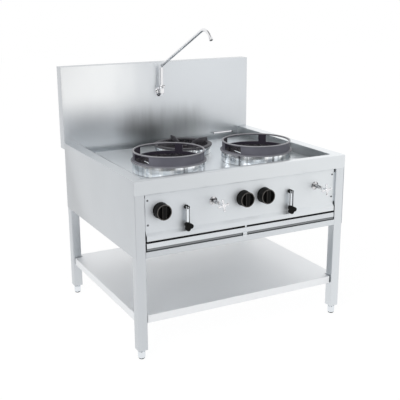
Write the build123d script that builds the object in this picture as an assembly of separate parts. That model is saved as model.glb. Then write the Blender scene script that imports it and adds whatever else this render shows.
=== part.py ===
from build123d import *
import os

os.makedirs("parts", exist_ok=True)

# A free-standing stainless-steel gas wok range: two wok burners at the front, one pan burner behind
# them, a sunk worktop with a water gutter, a tall splashback with a swivel spout, and an undershelf.
# Millimetres, Z up, the cook stands on the -Y side, the floor is Z = 0.

# ---- driving dimensions --------------------------------------------------------------------------
# The whole range
width = 1200.0               # over the side panels
frame_depth = 1000.0         # over the front and rear legs
rim_height = 900.0           # floor to the worktop's rim
handle_reach = 100.0         # the tap handles stand this far in front of the legs
splash_depth = 70.0          # the splashback's box stands this far behind the legs
splash_rise = 425.0          # splashback above the rim
splash_overlap = 37.0        # its sides hang this far below the rim
return_width = 15.0          # rear returns of its top and sides
sheet = 1.5                  # stainless sheet
play = 0.3                   # loose castings and the feet stand this far off their seats
overcut = 1.0                # cutters run this far past the faces they open

# Frame
leg_size = 50.0
leg_wall = 2.0
rail_size = 30.0
rail_wall = 1.5
rail_drop = 348.5            # rim to the top of the lower rails
panel_hang = 28.5            # side panels below the top of the lower rails

# Feet
foot_height = 50.0
foot_radius = 19.0
foot_pad_radius = 13.0
foot_toe_height = 7.0
foot_toe_taper = 2.0
foot_shoulder = 14.0
foot_neck = 4.0              # the neck under the leg is this much slimmer
foot_collar = 6.0
foot_stud_radius = 8.0
foot_stud_length = 42.0
foot_bush_radius = 12.0
foot_bush_length = 30.0
stud_clearance = 0.05        # thread of the foot in its bush, on the radius

# Worktop
side_rim = 60.0
front_rim = 45.0
well_depth = 55.0
well_corner = 10.0
apron_height = 70.0
apron_lip = 15.0
gutter_width = 70.0
gutter_drop = 30.0
drain_inset = 50.0           # drain in from the left end of the gutter
drain_hole_radius = 24.0

# Burners
burner_side_gap = 278.0      # front burners in from the ends of the well
burner_front_gap = 296.5     # front burners behind the front of the well
rear_burner_gap = 230.0      # rear burner in front of the gutter
collar_radius = 188.0
collar_height = 53.0
collar_wall = 2.0
collar_ledge = 8.0
floor_hole_radius = 178.0
rear_collar_radius = 160.0
rear_collar_height = 40.0
rear_floor_hole_radius = 150.0
collar_slot_width = 14.0
collar_slot_height = 6.0

# Cast rings
ring_flange_radius = 194.0
ring_flange_height = 7.0
ring_radius = 183.0
ring_wall = 7.0
ring_top_height = 56.0
ring_bead_radius = 186.0
ring_bead_height = 6.0
ring_edge = 2.0              # worn edges of the casting
ring_spigot = 5.0            # depth of the lip that centres the ring in its collar
ring_spigot_gap = 1.0
ring_window_angles = ((-28.0, 40.0), (53.6, 121.7), (170.0, 212.3))
pan_ring_radius = 165.0
pan_ring_bore = 138.0
pan_ring_height = 12.0
pan_ring_edge = 4.0
fin_root = 8.0               # the fins stand this far in from the ring's outside
fin_slope = 4.0
fin_foot = 2.0
fin_knee = 108.0
fin_tip = 58.0
fin_rise = 20.0
fin_tip_rise = 3.0
fin_thickness = 8.0

# Fire bowls and burner heads
bowl_wall = 4.0
bowl_depth = 110.0
bowl_mouth_gap = 4.0         # bowl inside its hole in the worktop
bowl_flange = 4.0            # and over the edge of the hole
bowl_rim_depth = 20.0
bowl_throat_height = 20.0
bowl_throat_ratio = 0.6
bowl_wall_shift = 2.0        # keeps the sloping wall as thick as the upright ones
spoke_width = 12.0
spoke_height = 8.0
head_radius_ratio = 0.42
head_base_ratio = 0.7
head_flare = 10.0
head_height = 26.0
head_edge = 4.0
jet_radius = 5.0
jet_height = 9.0
jet_seat = 2.0
jet_ring_ratios = (0.78, 0.44)
jet_counts = (12, 6)
mixer_radius = 18.8
mixer_bore = 15.0
mixer_bend = 24.0
mixer_drop = 34.0
mixer_gap = 60.0             # mouths of the mixing tubes behind the manifold
mixer_bore_length = 90.0
mixer_hole_gap = 5.7
bell_flare = 6.2
bell_length = 12.0

# Control panel
panel_recess = 12.0
panel_side_gap = 3.0
panel_face_height = 189.0
panel_slope_height = 15.0
panel_foot_height = 24.0
panel_top_return = 15.0
panel_foot_return = 25.0
panel_bend = 2.0
control_drop = 86.0          # knobs and levers below the top of the panel
tap_drop = 77.0              # water taps below the top of the panel
left_knob_inset = 81.5       # in from the panel's left end
left_lever_inset = 214.5
left_tap_inset = 363.5
middle_knob_x = (-12.0, 108.0)
right_tap_inset = 124.5      # in from the panel's right end
screw_side_inset = 15.5
screw_top_inset = 31.0
screw_foot_inset = 38.0
screw_radius = 5.0
screw_head = 2.5
screw_crown_ratio = 0.6
angle_size = 30.0
angle_wall = 2.0
angle_top_gap = 20.0
angle_foot_gap = 10.0

# Knobs
bezel_radius = 40.0
bezel_height = 5.0
bezel_edge = 2.0
knob_radius = 38.5
knob_draft = 0.8             # the knob is this much slimmer at its front, on the radius
knob_edge = 2.0
knob_gap = 1.0
knob_reach = 46.0            # front of the knob, in front of the panel
knob_wall = 5.0
knob_pocket = 17.0           # depth of the two half-moon pockets beside the grip bar
grip_width = 20.0
spindle_radius = 4.0
spindle_clearance = 0.05
spindle_hole = 7.0
spindle_reach = 20.0         # spindles end this far behind the panel
spindle_end_gap = 4.0

# Gas levers
lever_hub_radius = 10.5
lever_hub_height = 18.0
lever_width = 20.0
lever_channel_depth = 8.0
lever_wall = 2.0
lever_length = 92.0          # from the hub to the middle of the grip
lever_top_gap = 3.0          # the channel ends this far below the top of the hub
lever_pin_ratio = 0.5
lever_post_width = 10.0
lever_post_lap = 2.0
lever_seat = 4.0             # the channel sits this deep in the grip
lobe_radius = 11.8
lobe_circle = 11.0
lobe_angles = (125.0, 5.0, 245.0)
lobe_edge = 3.0
lever_grip_depth = 24.0
lever_grip_gap = 4.0         # grip in front of the panel's foot

# Water taps and their handles
tap_flange_radius = 21.0
tap_flange_height = 5.0
tap_flange_rim = 2.0
tap_flange_slope = 7.0
bonnet_radius = 9.0
bonnet_length = 55.0
bonnet_hole_gap = 1.0
tap_seat_gap = 4.0
tap_seat_length = 36.0
tap_wall = 5.0
tap_port_wall = 3.0
tap_port = 30.0              # pipe ends above and below the tap's axis
tap_port_depth = 30.0        # and behind the panel
stem_hole_floor = 10.0
stem_end = 20.0
handle_radius = 31.5
handle_arm_radius = 4.8
handle_end_radius = 6.2
handle_arm_set_back = 2.0
handle_hub_radius = 11.0
handle_hub_height = 22.0
handle_hub_edge = 4.0

# Drip tray
gap_under_panel = 9.0
tray_strip_height = 26.0
tray_roll_radius = 7.5
tray_roll_set_back = 3.0
tray_top_return = 14.0
tray_side_gap = 5.5
tray_pan_inset = 5.0
tray_pan_rise = 2.5          # pan above the lower rails
tray_pan_set_back = 13.0
tray_wall_height = 30.0
tray_rear_gap = 77.0         # pan in front of the rear rail
tray_wall = 1.2
tab_x = (-19.0, 4.0)
tab_height = 25.0
tab_lap = 3.0
tab_thickness = 2.0
tab_hole_radius = 2.0
tab_hole_inset = 6.0
tongue_x = -2.0
tongue_width = 9.0
runner_width = 20.0
runner_wall = 2.0
runner_height = 22.0
runner_gap = 0.5

# Undershelf
shelf_top = 226.0
shelf_edge = 40.0
shelf_front_set_back = 10.0
shelf_side_set_in = 11.0
shelf_rear_set_in = 8.0
shelf_notch_gap = 6.0
shelf_tab_inset = 1.0        # the tabs that carry it start this far inside its edge
stiffener_width = 60.0
stiffener_depth = 25.0
stiffener_inset = 255.0      # in from the front and the rear of the legs

# Wall tap and swivel spout
wall_tap_rise = 253.0        # above the rim
escutcheon_radius = 29.0
escutcheon_height = 6.0
escutcheon_rim = 2.0
wall_tap_radius = 14.0
wall_stub_radius = 10.0
wall_hole_gap = 1.0
wall_tap_below = 7.0         # body below the tap's axis
wall_tap_above = 27.0        # and above it
wall_tap_plug_radius = 9.0
wall_tap_plug = 7.0
nut_across = 34.0
nut_height = 14.0
riser_off_wall = 30.0
spout_radius = 9.0
spout_bore = 7.5
spout_riser = 112.0          # upright run above the nut
spout_run = 556.0            # slanting run, towards the cook
spout_climb = 250.0
spout_tip_run = 48.0
spout_tip_drop = 68.0
knee_bend = 16.0
tip_bend = 82.0
nozzle_radius = 10.5
nozzle_length = 14.0
spout_spigot = 16.0
spout_end_gap = 1.0
spout_clearance = 0.05

# Rinse pipe
rinse_radius = 6.0
rinse_bore = 5.0
rinse_rise = 57.0            # above the gutter's floor
rinse_length = 135.0
rinse_inset = 50.0           # in from the right end of the gutter
rinse_bend = 14.0
rinse_off_wall = 9.0
rinse_tail = 6.0

# Gas pipes
gas_pipe_radius = 13.45      # three-quarter inch gas tube
gas_pipe_bore = 10.5
gas_thread_radius = 13.2
thread_length = 20.0
manifold_set_back = 56.5     # behind the panel
manifold_side_gap = 53.5     # ends of the manifold, in from the legs
manifold_cap_wall = 3.0
manifold_cap_length = 20.0
manifold_end_wall = 5.0
gas_elbow = 30.0
gas_bend = 22.0
inlet_stub = 45.0            # gas, water and waste ends beyond the rear legs
valve_gap = 8.0
valve_length = 26.0
valve_edge = 4.0
valve_neck_radius = 9.0
valve_collar_wall = 2.0
knob_valve_half = 14.0
lever_valve_half = 17.0
outlet_boss = 10.0
outlet_boss_wall = 2.0
branch_radius = 6.0
branch_bend = 8.0
injector_gap = 7.0           # primary air goes in between injector and mixing tube
injector_length = 25.0
pilot_radius = 4.0
pilot_bore = 2.5
pilot_offset = 136.0         # pilot tube to the left of its burner's middle
pilot_front = 85.0           # and in front of it
pilot_back = 5.0
pilot_rise = 60.0            # above the sunk floor
pilot_bend = 12.0
pilot_hole_gap = 2.0
pipe_drop = 44.0             # pilot and water runs below the knobs

# Water and waste pipes
water_pipe_radius = 7.5
water_bend = 14.0
water_pipe_bore = 6.0
water_thread_radius = 10.48  # half-inch pipe thread
water_inlet_gap = 35.0       # in from the manifold's end
water_header_drop = 94.0     # below the knobs
water_return_drop = 84.0
water_over_rise = 56.0       # the taps' outlets climb this far above the knobs
water_over_gap = 30.0        # and come down behind the gas manifold
water_off_wall = 33.0        # upright runs behind the rear legs
pipe_hole_gap = 2.0
waste_radius = 20.0
waste_bore = 18.0
waste_bend = 30.0
waste_drop = 75.0            # its level run, below the gutter's floor
waste_flange = 32.0
waste_flange_height = 3.0
strainer_radius = 31.0
strainer_cup = 17.4
strainer_depth = 20.0
strainer_hole = 2.0
strainer_ring_radii = (5.5, 11.5)
strainer_counts = (6, 12)

# Rear panel
vent_count = 11
vent_row_count = 3
vent_pitch = 80.0
vent_row_pitch = 25.0
vent_rise = 23.5             # lowest row above the rear rail
vent_width = 50.0
vent_height = 8.0

# ---- places worked out from them -----------------------------------------------------------------
half_width = width / 2
total_depth = handle_reach + frame_depth + splash_depth
front = handle_reach - total_depth / 2
back = front + frame_depth
splash_rear = back + splash_depth
splash_top = rim_height + splash_rise
splash_foot = rim_height - splash_overlap
leg_out = half_width - sheet
leg_in = leg_out - leg_size
leg_top = rim_height - sheet
rail_top = rim_height - rail_drop
well_half = half_width - side_rim
well_front = front - sheet + front_rim
well_floor = rim_height - well_depth
gutter_front = back - gutter_width
gutter_floor = well_floor - gutter_drop
gutter_y = (gutter_front + back) / 2
drain_x = drain_inset - well_half
burner_x = well_half - burner_side_gap
burner_y = well_front + burner_front_gap
rear_burner_y = gutter_front - rear_burner_gap
collar_top = well_floor + collar_height
rear_collar_top = well_floor + rear_collar_height
apron_foot = rim_height - apron_height
panel_face = front + panel_recess
panel_back = panel_face + sheet
panel_half = leg_in - panel_side_gap
panel_bend_top = apron_foot - panel_face_height
panel_bend_foot = panel_bend_top - panel_slope_height
panel_lip_foot = panel_bend_foot - panel_foot_height
control_z = apron_foot - control_drop
tap_z = apron_foot - tap_drop
knob_x = (left_knob_inset - panel_half, *middle_knob_x)
lever_x = (left_lever_inset - panel_half, burner_x)
tap_x = (left_tap_inset - panel_half, panel_half - right_tap_inset)
tray_top = panel_lip_foot - gap_under_panel
tray_strip_foot = tray_top - tray_strip_height
manifold_y = panel_back + manifold_set_back
manifold_half = leg_in - manifold_side_gap
gas_riser_x = manifold_half + gas_elbow
pipe_level = control_z - pipe_drop
water_inlet_x = manifold_half - water_inlet_gap
water_return_z = control_z - water_return_drop
wall_tap_z = rim_height + wall_tap_rise
riser_y = back - riser_off_wall
rinse_wall_x = well_half - rinse_inset
rinse_z = gutter_floor + rinse_rise
waste_level = gutter_floor - waste_drop
inlet_end = back + inlet_stub
burners = {
    "left": (-burner_x, burner_y, floor_hole_radius),
    "right": (burner_x, burner_y, floor_hole_radius),
    "rear": (0.0, rear_burner_y, rear_floor_hole_radius),
}


# ---- shapes --------------------------------------------------------------------------------------
def block(x, y, z):
    """A box between three pairs of limits."""
    middle = [(a + b) / 2 for a, b in (x, y, z)]
    size = [b - a for a, b in (x, y, z)]
    return Pos(*middle) * Box(*size)


def rod(radius, start, end):
    """A round bar from one point to another."""
    run = Vector(*end) - Vector(*start)
    return Part() + Solid.make_cylinder(radius, run.length, Plane(origin=start, z_dir=run))


def tube(radius, bore, start, end):
    """A straight round tube."""
    return rod(radius, start, end) - rod(bore, start, end)


def bent_pipe(points, bend, radius, bore=0.0):
    """A round pipe along straight runs, with a bend at each corner."""
    path = FilletPolyline(*points, radius=bend)
    section = Circle(radius)
    if bore:
        section -= Circle(bore)
    return sweep(Plane(origin=path @ 0, z_dir=path % 0) * section, path=path)


def turned(profile, place=(0.0, 0.0, 0.0)):
    """A solid turned about an upright axis from (radius, height) points."""
    outline = Plane.XZ * make_face(Polyline(*profile, close=True))
    return Pos(*place) * revolve(outline, Axis.Z)


def turned_forward(profile, place):
    """A solid turned about an axis towards the cook, from (radius, distance forward) points."""
    return Pos(*place) * (Rot(90, 0, 0) * turned(profile))


def folded(profile, bend, x, thickness=sheet):
    """Folded sheet: the (y, z) line of one face, given its thickness and run along X."""
    line = FilletPolyline(*profile, radius=bend)
    face = make_face(offset(line, thickness, side=Side.LEFT))
    across = Plane(origin=(x[0], 0, 0), x_dir=(0, 1, 0), z_dir=(1, 0, 0))
    return extrude(across * face, x[1] - x[0])


def square_tube(x, y, z, wall, along):
    """A box tube between limits, open along one axis."""
    limits = [x, y, z]
    inside = [(a + wall, b - wall) for a, b in limits]
    inside[along] = (limits[along][0] - overcut, limits[along][1] + overcut)
    return block(*limits) - block(*inside)


def hexagon(across, z, place):
    """An upright six-sided nut blank, measured over its flats."""
    outline = RegularPolygon(across / 2, 6, major_radius=False)
    return Pos(place[0], place[1], z[0]) * extrude(outline, z[1] - z[0])


def wedge(radius, start, end):
    """A flat sector about the origin, wider than the ring that it cuts."""
    middle = (start + end) / 2
    corners = [Vector(radius, 0, 0).rotate(Axis.Z, angle) for angle in (start, middle, end)]
    return make_face(Polyline((0, 0), *[(corner.X, corner.Y) for corner in corners], close=True))


def well_plan(margin, rear, z):
    """The sunk well seen from above, grown by a margin, with rounded front corners."""
    plan = block((-well_half - margin, well_half + margin), (well_front - margin, rear), z)
    return fillet(plan.edges().filter_by(Axis.Z).group_by(Axis.Y)[0], well_corner + margin)


def save(node, *solids):
    """Writes one node's solids."""
    shape = solids[0] if len(solids) == 1 else Compound(children=list(solids))
    export_step(shape, f"parts/{node}.step")


# ---- legs and feet -------------------------------------------------------------------------------
for depth_name, y_out, inward in (("front", front, 1), ("rear", back, -1)):
    y_leg = sorted((y_out, y_out + inward * leg_size))
    leg_y = sum(y_leg) / 2
    for side_name, side in (("left", -1), ("right", 1)):
        x_leg = sorted((side * leg_in, side * leg_out))
        leg_x = sum(x_leg) / 2
        tube_part = square_tube(x_leg, y_leg, (foot_height, leg_top), leg_wall, 2)
        end_plate = block(x_leg, y_leg, (foot_height, foot_height + leg_wall))
        bush_top = foot_height + foot_bush_length
        bush = rod(foot_bush_radius, (leg_x, leg_y, foot_height), (leg_x, leg_y, bush_top))
        thread_ends = (leg_x, leg_y, foot_height - overcut), (leg_x, leg_y, bush_top + overcut)
        thread = rod(foot_stud_radius + stud_clearance, *thread_ends)
        save(f"leg_{depth_name}_{side_name}", tube_part + end_plate + bush - thread)

        neck_foot = foot_height - foot_collar
        neck_top = foot_height - play
        stud_top = foot_height + foot_stud_length
        foot = turned(
            (
                (0, 0),
                (foot_pad_radius, 0),
                (foot_radius - foot_toe_taper, foot_toe_height),
                (foot_radius, foot_shoulder),
                (foot_radius, neck_foot - foot_neck),
                (foot_radius - foot_neck, neck_foot),
                (foot_radius - foot_neck, neck_top),
                (foot_stud_radius, neck_top),
                (foot_stud_radius, stud_top),
                (0, stud_top),
            ),
            (leg_x, leg_y, 0),
        )
        save(f"foot_{depth_name}_{side_name}", foot)

# ---- lower rails ---------------------------------------------------------------------------------
rail_z = (rail_top - rail_size, rail_top)
cross_x = (-leg_in, leg_in)
save("lower_rail_front", square_tube(cross_x, (front, front + rail_size), rail_z, rail_wall, 0))
save("lower_rail_rear", square_tube(cross_x, (back - rail_size, back), rail_z, rail_wall, 0))
for side_name, side in (("left", -1), ("right", 1)):
    rail_x = sorted((side * (leg_out - rail_size), side * leg_out))
    rail_y = (front + leg_size, back - leg_size)
    save(f"lower_rail_{side_name}", square_tube(rail_x, rail_y, rail_z, rail_wall, 1))

# ---- worktop: rim with its apron, walls and floor of the sunk well, gutter -------------------------
apron_face = front - sheet
full_x = (-half_width, half_width)
rim = block(full_x, (apron_face, back), (leg_top, rim_height))
rim -= well_plan(0, back + overcut, (leg_top - overcut, rim_height + overcut))
apron = block(full_x, (apron_face, front), (apron_foot, rim_height))
lip = block(cross_x, (apron_face, apron_face + apron_lip), (apron_foot, apron_foot + sheet))
worktop_rim = rim + apron + lip
front_edges = worktop_rim.edges().filter_by(Axis.X).group_by(Axis.Y)[0].sort_by(Axis.Z)
save("worktop_rim", fillet(front_edges[-1], sheet))

wall_z = (well_floor, leg_top)
well_walls = well_plan(sheet, back, wall_z)
well_walls -= well_plan(0, back + overcut, (wall_z[0] - overcut, wall_z[1] + overcut))
save("well_walls", well_walls)

floor_plate = well_plan(sheet, gutter_front - sheet, (well_floor - sheet, well_floor))
for x, y, hole in burners.values():
    floor_plate -= rod(hole, (x, y, well_floor - sheet - overcut), (x, y, well_floor + overcut))
save("well_floor", floor_plate)

gutter_x = (-well_half - sheet, well_half + sheet)
gutter_plate = block(gutter_x, (gutter_front - sheet, back), (gutter_floor - sheet, gutter_floor))
drain_ends = (drain_x, gutter_y, gutter_floor - sheet - overcut), (drain_x, gutter_y, well_floor)
save("gutter_floor", gutter_plate - rod(drain_hole_radius, *drain_ends))

gutter_walls = block(gutter_x, (gutter_front - sheet, back), (gutter_floor, well_floor))
gutter_walls -= block((-well_half, well_half), (gutter_front, back + overcut), (gutter_floor, rim_height))
save("gutter_walls", gutter_walls)

# ---- side and rear panels --------------------------------------------------------------------------
for side_name, side in (("left", -1), ("right", 1)):
    panel_x = sorted((side * leg_out, side * half_width))
    panel_z = (rail_top - panel_hang, leg_top)
    save(f"side_panel_{side_name}", block(panel_x, (front, back), panel_z))

rear_y = (back - rail_wall - sheet, back - rail_wall)
rear_panel = block(cross_x, rear_y, (rail_top, gutter_floor - sheet))
vent = Rot(90, 0, 0) * extrude(SlotOverall(vent_width, vent_height), leg_size, both=True)
for row in range(vent_row_count):
    for step in range(vent_count):
        vent_x = (step - (vent_count - 1) / 2) * vent_pitch
        rear_panel -= Pos(vent_x, back, rail_top + vent_rise + row * vent_row_pitch) * vent
for x, z, radius in (
    (gas_riser_x, control_z, gas_pipe_radius),
    (water_inlet_x, pipe_level, water_thread_radius),
    (tap_x[0], water_return_z, water_pipe_radius),
    (tap_x[1], water_return_z, water_pipe_radius),
    (drain_x, waste_level, waste_radius),
):
    rear_panel -= rod(radius + pipe_hole_gap, (x, rear_y[0] - overcut, z), (x, rear_y[1] + overcut, z))
save("rear_panel", rear_panel)

# ---- splashback ------------------------------------------------------------------------------------
face_y = (back, back + sheet)
return_y = (splash_rear - sheet, splash_rear)
splash_front = block(full_x, face_y, (splash_foot, splash_top))
splash_front += block(gutter_x, face_y, (gutter_floor - sheet, splash_foot))
splash_front += block(full_x, (back, splash_rear), (splash_top - sheet, splash_top))
splash_front += block(full_x, return_y, (splash_top - return_width, splash_top))
for side in (-1, 1):
    wall_x = sorted((side * (half_width - sheet), side * half_width))
    turn_x = sorted((side * (half_width - return_width), side * half_width))
    splash_front += block(wall_x, (back, splash_rear), (splash_foot, splash_top))
    splash_front += block(turn_x, return_y, (splash_foot, splash_top))
for x, z, radius in ((0, wall_tap_z, wall_stub_radius), (rinse_wall_x, rinse_z, rinse_radius)):
    hole_ends = (x, back - overcut, z), (x, back + sheet + overcut, z)
    splash_front -= rod(radius + wall_hole_gap, *hole_ends)
save("splash_back", splash_front)

cover_y = (splash_rear - 2 * sheet, splash_rear - sheet)
cover_half = half_width - 2 * sheet
save("splash_rear_cover", block((-cover_half, cover_half), cover_y, (splash_foot, splash_top - 2 * sheet)))

# ---- undershelf --------------------------------------------------------------------------------------
shelf_half = half_width - shelf_side_set_in
shelf_front = front + shelf_front_set_back
shelf_rear = back - shelf_rear_set_in
notch_x = leg_in - shelf_notch_gap
notch_front = front + leg_size + shelf_notch_gap
notch_rear = back - leg_size - shelf_notch_gap
shelf_corners = (
    (-notch_x, shelf_front),
    (notch_x, shelf_front),
    (notch_x, notch_front),
    (shelf_half, notch_front),
    (shelf_half, notch_rear),
    (notch_x, notch_rear),
    (notch_x, shelf_rear),
    (-notch_x, shelf_rear),
    (-notch_x, notch_rear),
    (-shelf_half, notch_rear),
    (-shelf_half, notch_front),
    (-notch_x, notch_front),
)
shelf_foot = shelf_top - shelf_edge
shelf_plan = make_face(Polyline(*shelf_corners, close=True))
shelf_inside = offset(shelf_plan, -sheet, kind=Kind.INTERSECTION)
undershelf = Pos(0, 0, shelf_foot) * extrude(shelf_plan, shelf_edge)
undershelf -= Pos(0, 0, shelf_foot - overcut) * extrude(shelf_inside, shelf_edge - sheet + overcut)
tab_ends = (shelf_front + shelf_tab_inset, notch_front), (notch_rear, shelf_rear - shelf_tab_inset)
for side in (-1, 1):
    shelf_tab_x = sorted((side * (notch_x - sheet / 2), side * leg_in))
    for shelf_tab_y in tab_ends:
        undershelf += block(shelf_tab_x, shelf_tab_y, (shelf_foot, shelf_foot + sheet))
save("undershelf", undershelf)

under = shelf_top - sheet
hat_x = (-shelf_half + 2 * sheet, shelf_half - 2 * sheet)
hollow_x = (hat_x[0] - overcut, hat_x[1] + overcut)
stiffeners = []
for y in (front + stiffener_inset, back - stiffener_inset):
    hat_y = (y - stiffener_width / 2, y + stiffener_width / 2)
    hollow_y = (hat_y[0] + sheet, hat_y[1] - sheet)
    hat = block(hat_x, hat_y, (under - stiffener_depth, under))
    hat -= block(hollow_x, hollow_y, (under - stiffener_depth + sheet, under + overcut))
    stiffeners.append(hat)
save("shelf_stiffeners", *stiffeners)

# ---- control panel -----------------------------------------------------------------------------------
panel_profile = (
    (panel_back + panel_top_return, apron_foot),
    (panel_face, apron_foot),
    (panel_face, panel_bend_top),
    (front, panel_bend_foot),
    (front, panel_lip_foot),
    (front + panel_foot_return, panel_lip_foot),
)
control_panel = folded(panel_profile, panel_bend, (-panel_half, panel_half))
spindles = [(x, control_z, spindle_hole) for x in knob_x + lever_x]
bonnets = [(x, tap_z, bonnet_radius + bonnet_hole_gap) for x in tap_x]
for x, z, radius in spindles + bonnets:
    control_panel -= rod(radius, (x, panel_face - overcut, z), (x, panel_back + overcut, z))
tongue_limits = (tongue_x - tongue_width / 2, tongue_x + tongue_width / 2)
tongue_z = (tray_top + runner_gap, panel_lip_foot + sheet)
control_panel += block(tongue_limits, (front, front + sheet), tongue_z)
save("control_panel", control_panel)

screws = []
for x in (screw_side_inset - panel_half, panel_half - screw_side_inset):
    for z in (apron_foot - screw_top_inset, panel_bend_top + screw_foot_inset):
        crown = screw_radius * screw_crown_ratio
        head = (
            (0, 0),
            (screw_radius, 0),
            (screw_radius, screw_head / 2),
            (crown, screw_head),
            (0, screw_head),
        )
        screws.append(turned_forward(head, (x, panel_face, z)))
save("panel_screws", *screws)

angles = []
for side in (-1, 1):
    flange_x = sorted((side * (leg_in - angle_size), side * leg_in))
    web_x = sorted((side * (leg_in - angle_wall), side * leg_in))
    angle_z = (panel_bend_top + angle_foot_gap, apron_foot - angle_top_gap)
    angle = block(flange_x, (panel_back, panel_back + angle_wall), angle_z)
    angle += block(web_x, (panel_back, panel_back + angle_size), angle_z)
    angles.append(angle)
save("panel_angles", *angles)

# ---- knobs, with a fixed bezel behind each ---------------------------------------------------------
bezels = []
for name, x in zip(("left", "middle", "right"), knob_x):
    bezel = turned_forward(
        (
            (spindle_hole, 0),
            (bezel_radius, 0),
            (bezel_radius, bezel_height / 2),
            (bezel_radius - bezel_edge, bezel_height),
            (spindle_hole, bezel_height),
        ),
        (x, panel_face, control_z),
    )
    bezels.append(bezel)
    knob_foot = bezel_height + knob_gap
    knob_front_radius = knob_radius - knob_draft
    knob = turned_forward(
        (
            (0, knob_foot),
            (knob_radius, knob_foot),
            (knob_front_radius, knob_reach - knob_edge),
            (knob_front_radius - knob_edge, knob_reach),
            (0, knob_reach),
        ),
        (x, panel_face, control_z),
    )
    pocket_y = (panel_face - knob_reach - overcut, panel_face - knob_reach + knob_pocket)
    pocket_radius = knob_front_radius - knob_wall
    pocket = rod(pocket_radius, (x, pocket_y[0], control_z), (x, pocket_y[1], control_z))
    grip_z = (control_z - knob_radius, control_z + knob_radius)
    pocket -= block((x - grip_width / 2, x + grip_width / 2), pocket_y, grip_z)
    spindle_y = (panel_face - knob_foot - overcut, panel_back + spindle_reach)
    spindle = rod(spindle_radius, (x, spindle_y[0], control_z), (x, spindle_y[1], control_z))
    save(f"knob_{name}", knob - pocket + spindle)
save("knob_bezels", *bezels)

# ---- gas levers --------------------------------------------------------------------------------------
for name, x in zip(("left", "right"), lever_x):
    hub_y = (panel_face - lever_hub_height, panel_face - knob_gap)
    arm_y = (hub_y[0] - lever_channel_depth, hub_y[0])
    hub = rod(lever_hub_radius, (x, hub_y[0], control_z), (x, hub_y[1], control_z))
    hub += rod(spindle_radius, (x, hub_y[0], control_z), (x, panel_back + spindle_reach, control_z))
    grip_z = control_z - lever_length
    arm_z = (grip_z + lobe_radius - lever_seat, control_z + lever_hub_radius - lever_top_gap)
    arm_x = (x - lever_width / 2, x + lever_width / 2)
    channel_x = (arm_x[0] + lever_wall, arm_x[1] - lever_wall)
    channel_z = (arm_z[0] - overcut, arm_z[1] + overcut)
    arm = block(arm_x, arm_y, arm_z)
    arm -= block(channel_x, (arm_y[0] - overcut, arm_y[1] - lever_wall), channel_z)
    pin_radius = lever_hub_radius * lever_pin_ratio
    arm += rod(pin_radius, (x, arm_y[0], control_z), (x, arm_y[1], control_z))
    post_x = (x - lever_post_width / 2, x + lever_post_width / 2)
    post_y = (arm_y[0] - overcut, arm_y[1])
    arm += block(post_x, post_y, (grip_z, arm_z[0] + lever_post_lap))
    save(f"gas_lever_{name}", arm + hub)

    grip_back = front - lever_grip_gap
    grip_front = grip_back - lever_grip_depth
    grip = Part()
    for lobe in lobe_angles:
        lobe_at = Vector(lobe_circle, 0, 0).rotate(Axis.Z, lobe)
        centre = (x + lobe_at.X, grip_z + lobe_at.Y)
        disc = rod(lobe_radius, (centre[0], grip_front, centre[1]), (centre[0], grip_back, centre[1]))
        rims = disc.edges().group_by(Axis.Y)
        grip += fillet(rims[0] + rims[-1], lobe_edge)
    grip -= block(post_x, post_y, (grip_z, arm_z[1]))
    grip -= block(arm_x, arm_y, arm_z)
    save(f"lever_grip_{name}", grip)

# ---- cross-handle taps -------------------------------------------------------------------------------
tap_bodies = []
port_y = panel_back + tap_port_depth
for name, x in zip(("left", "right"), tap_x):
    flange = turned_forward(
        (
            (0, 0),
            (tap_flange_radius, 0),
            (tap_flange_radius, tap_flange_rim),
            (tap_flange_radius - tap_flange_slope, tap_flange_height),
            (0, tap_flange_height),
        ),
        (x, panel_face, tap_z),
    )
    bonnet_y = (panel_face - bonnet_length, panel_back + tap_seat_gap)
    seat_y = (bonnet_y[1], bonnet_y[1] + tap_seat_length)
    bonnet = rod(bonnet_radius, (x, bonnet_y[0], tap_z), (x, seat_y[1], tap_z))
    seat = rod(bonnet_radius + tap_wall, (x, seat_y[0], tap_z), (x, seat_y[1], tap_z))
    port_ends = (x, port_y, tap_z + tap_port), (x, port_y, tap_z - tap_port)
    ports = rod(water_pipe_radius + tap_port_wall, *port_ends)
    stem_hole_ends = (x, bonnet_y[0] - overcut, tap_z), (x, panel_face - stem_hole_floor, tap_z)
    stem_hole = rod(spindle_radius + spindle_clearance, *stem_hole_ends)
    tap_bodies.append(flange + bonnet + seat + ports - stem_hole)

    hub_y = (front - handle_reach, front - handle_reach + handle_hub_height)
    arm_level = hub_y[0] + handle_end_radius + handle_arm_set_back
    handle = rod(handle_hub_radius, (x, hub_y[0], tap_z), (x, hub_y[1], tap_z))
    handle = fillet(handle.edges().group_by(Axis.Y)[0], handle_hub_edge)
    reach = handle_radius - handle_end_radius
    for dx, dz in ((1, 0), (0, 1), (-1, 0), (0, -1)):
        end = (x + dx * reach, arm_level, tap_z + dz * reach)
        handle += rod(handle_arm_radius, (x, arm_level, tap_z), end)
        handle += Pos(*end) * Sphere(handle_end_radius)
    handle += rod(spindle_radius, (x, hub_y[1] - overcut, tap_z), (x, panel_face - stem_end, tap_z))
    save(f"tap_handle_{name}", handle)
save("water_taps", *tap_bodies)

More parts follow.
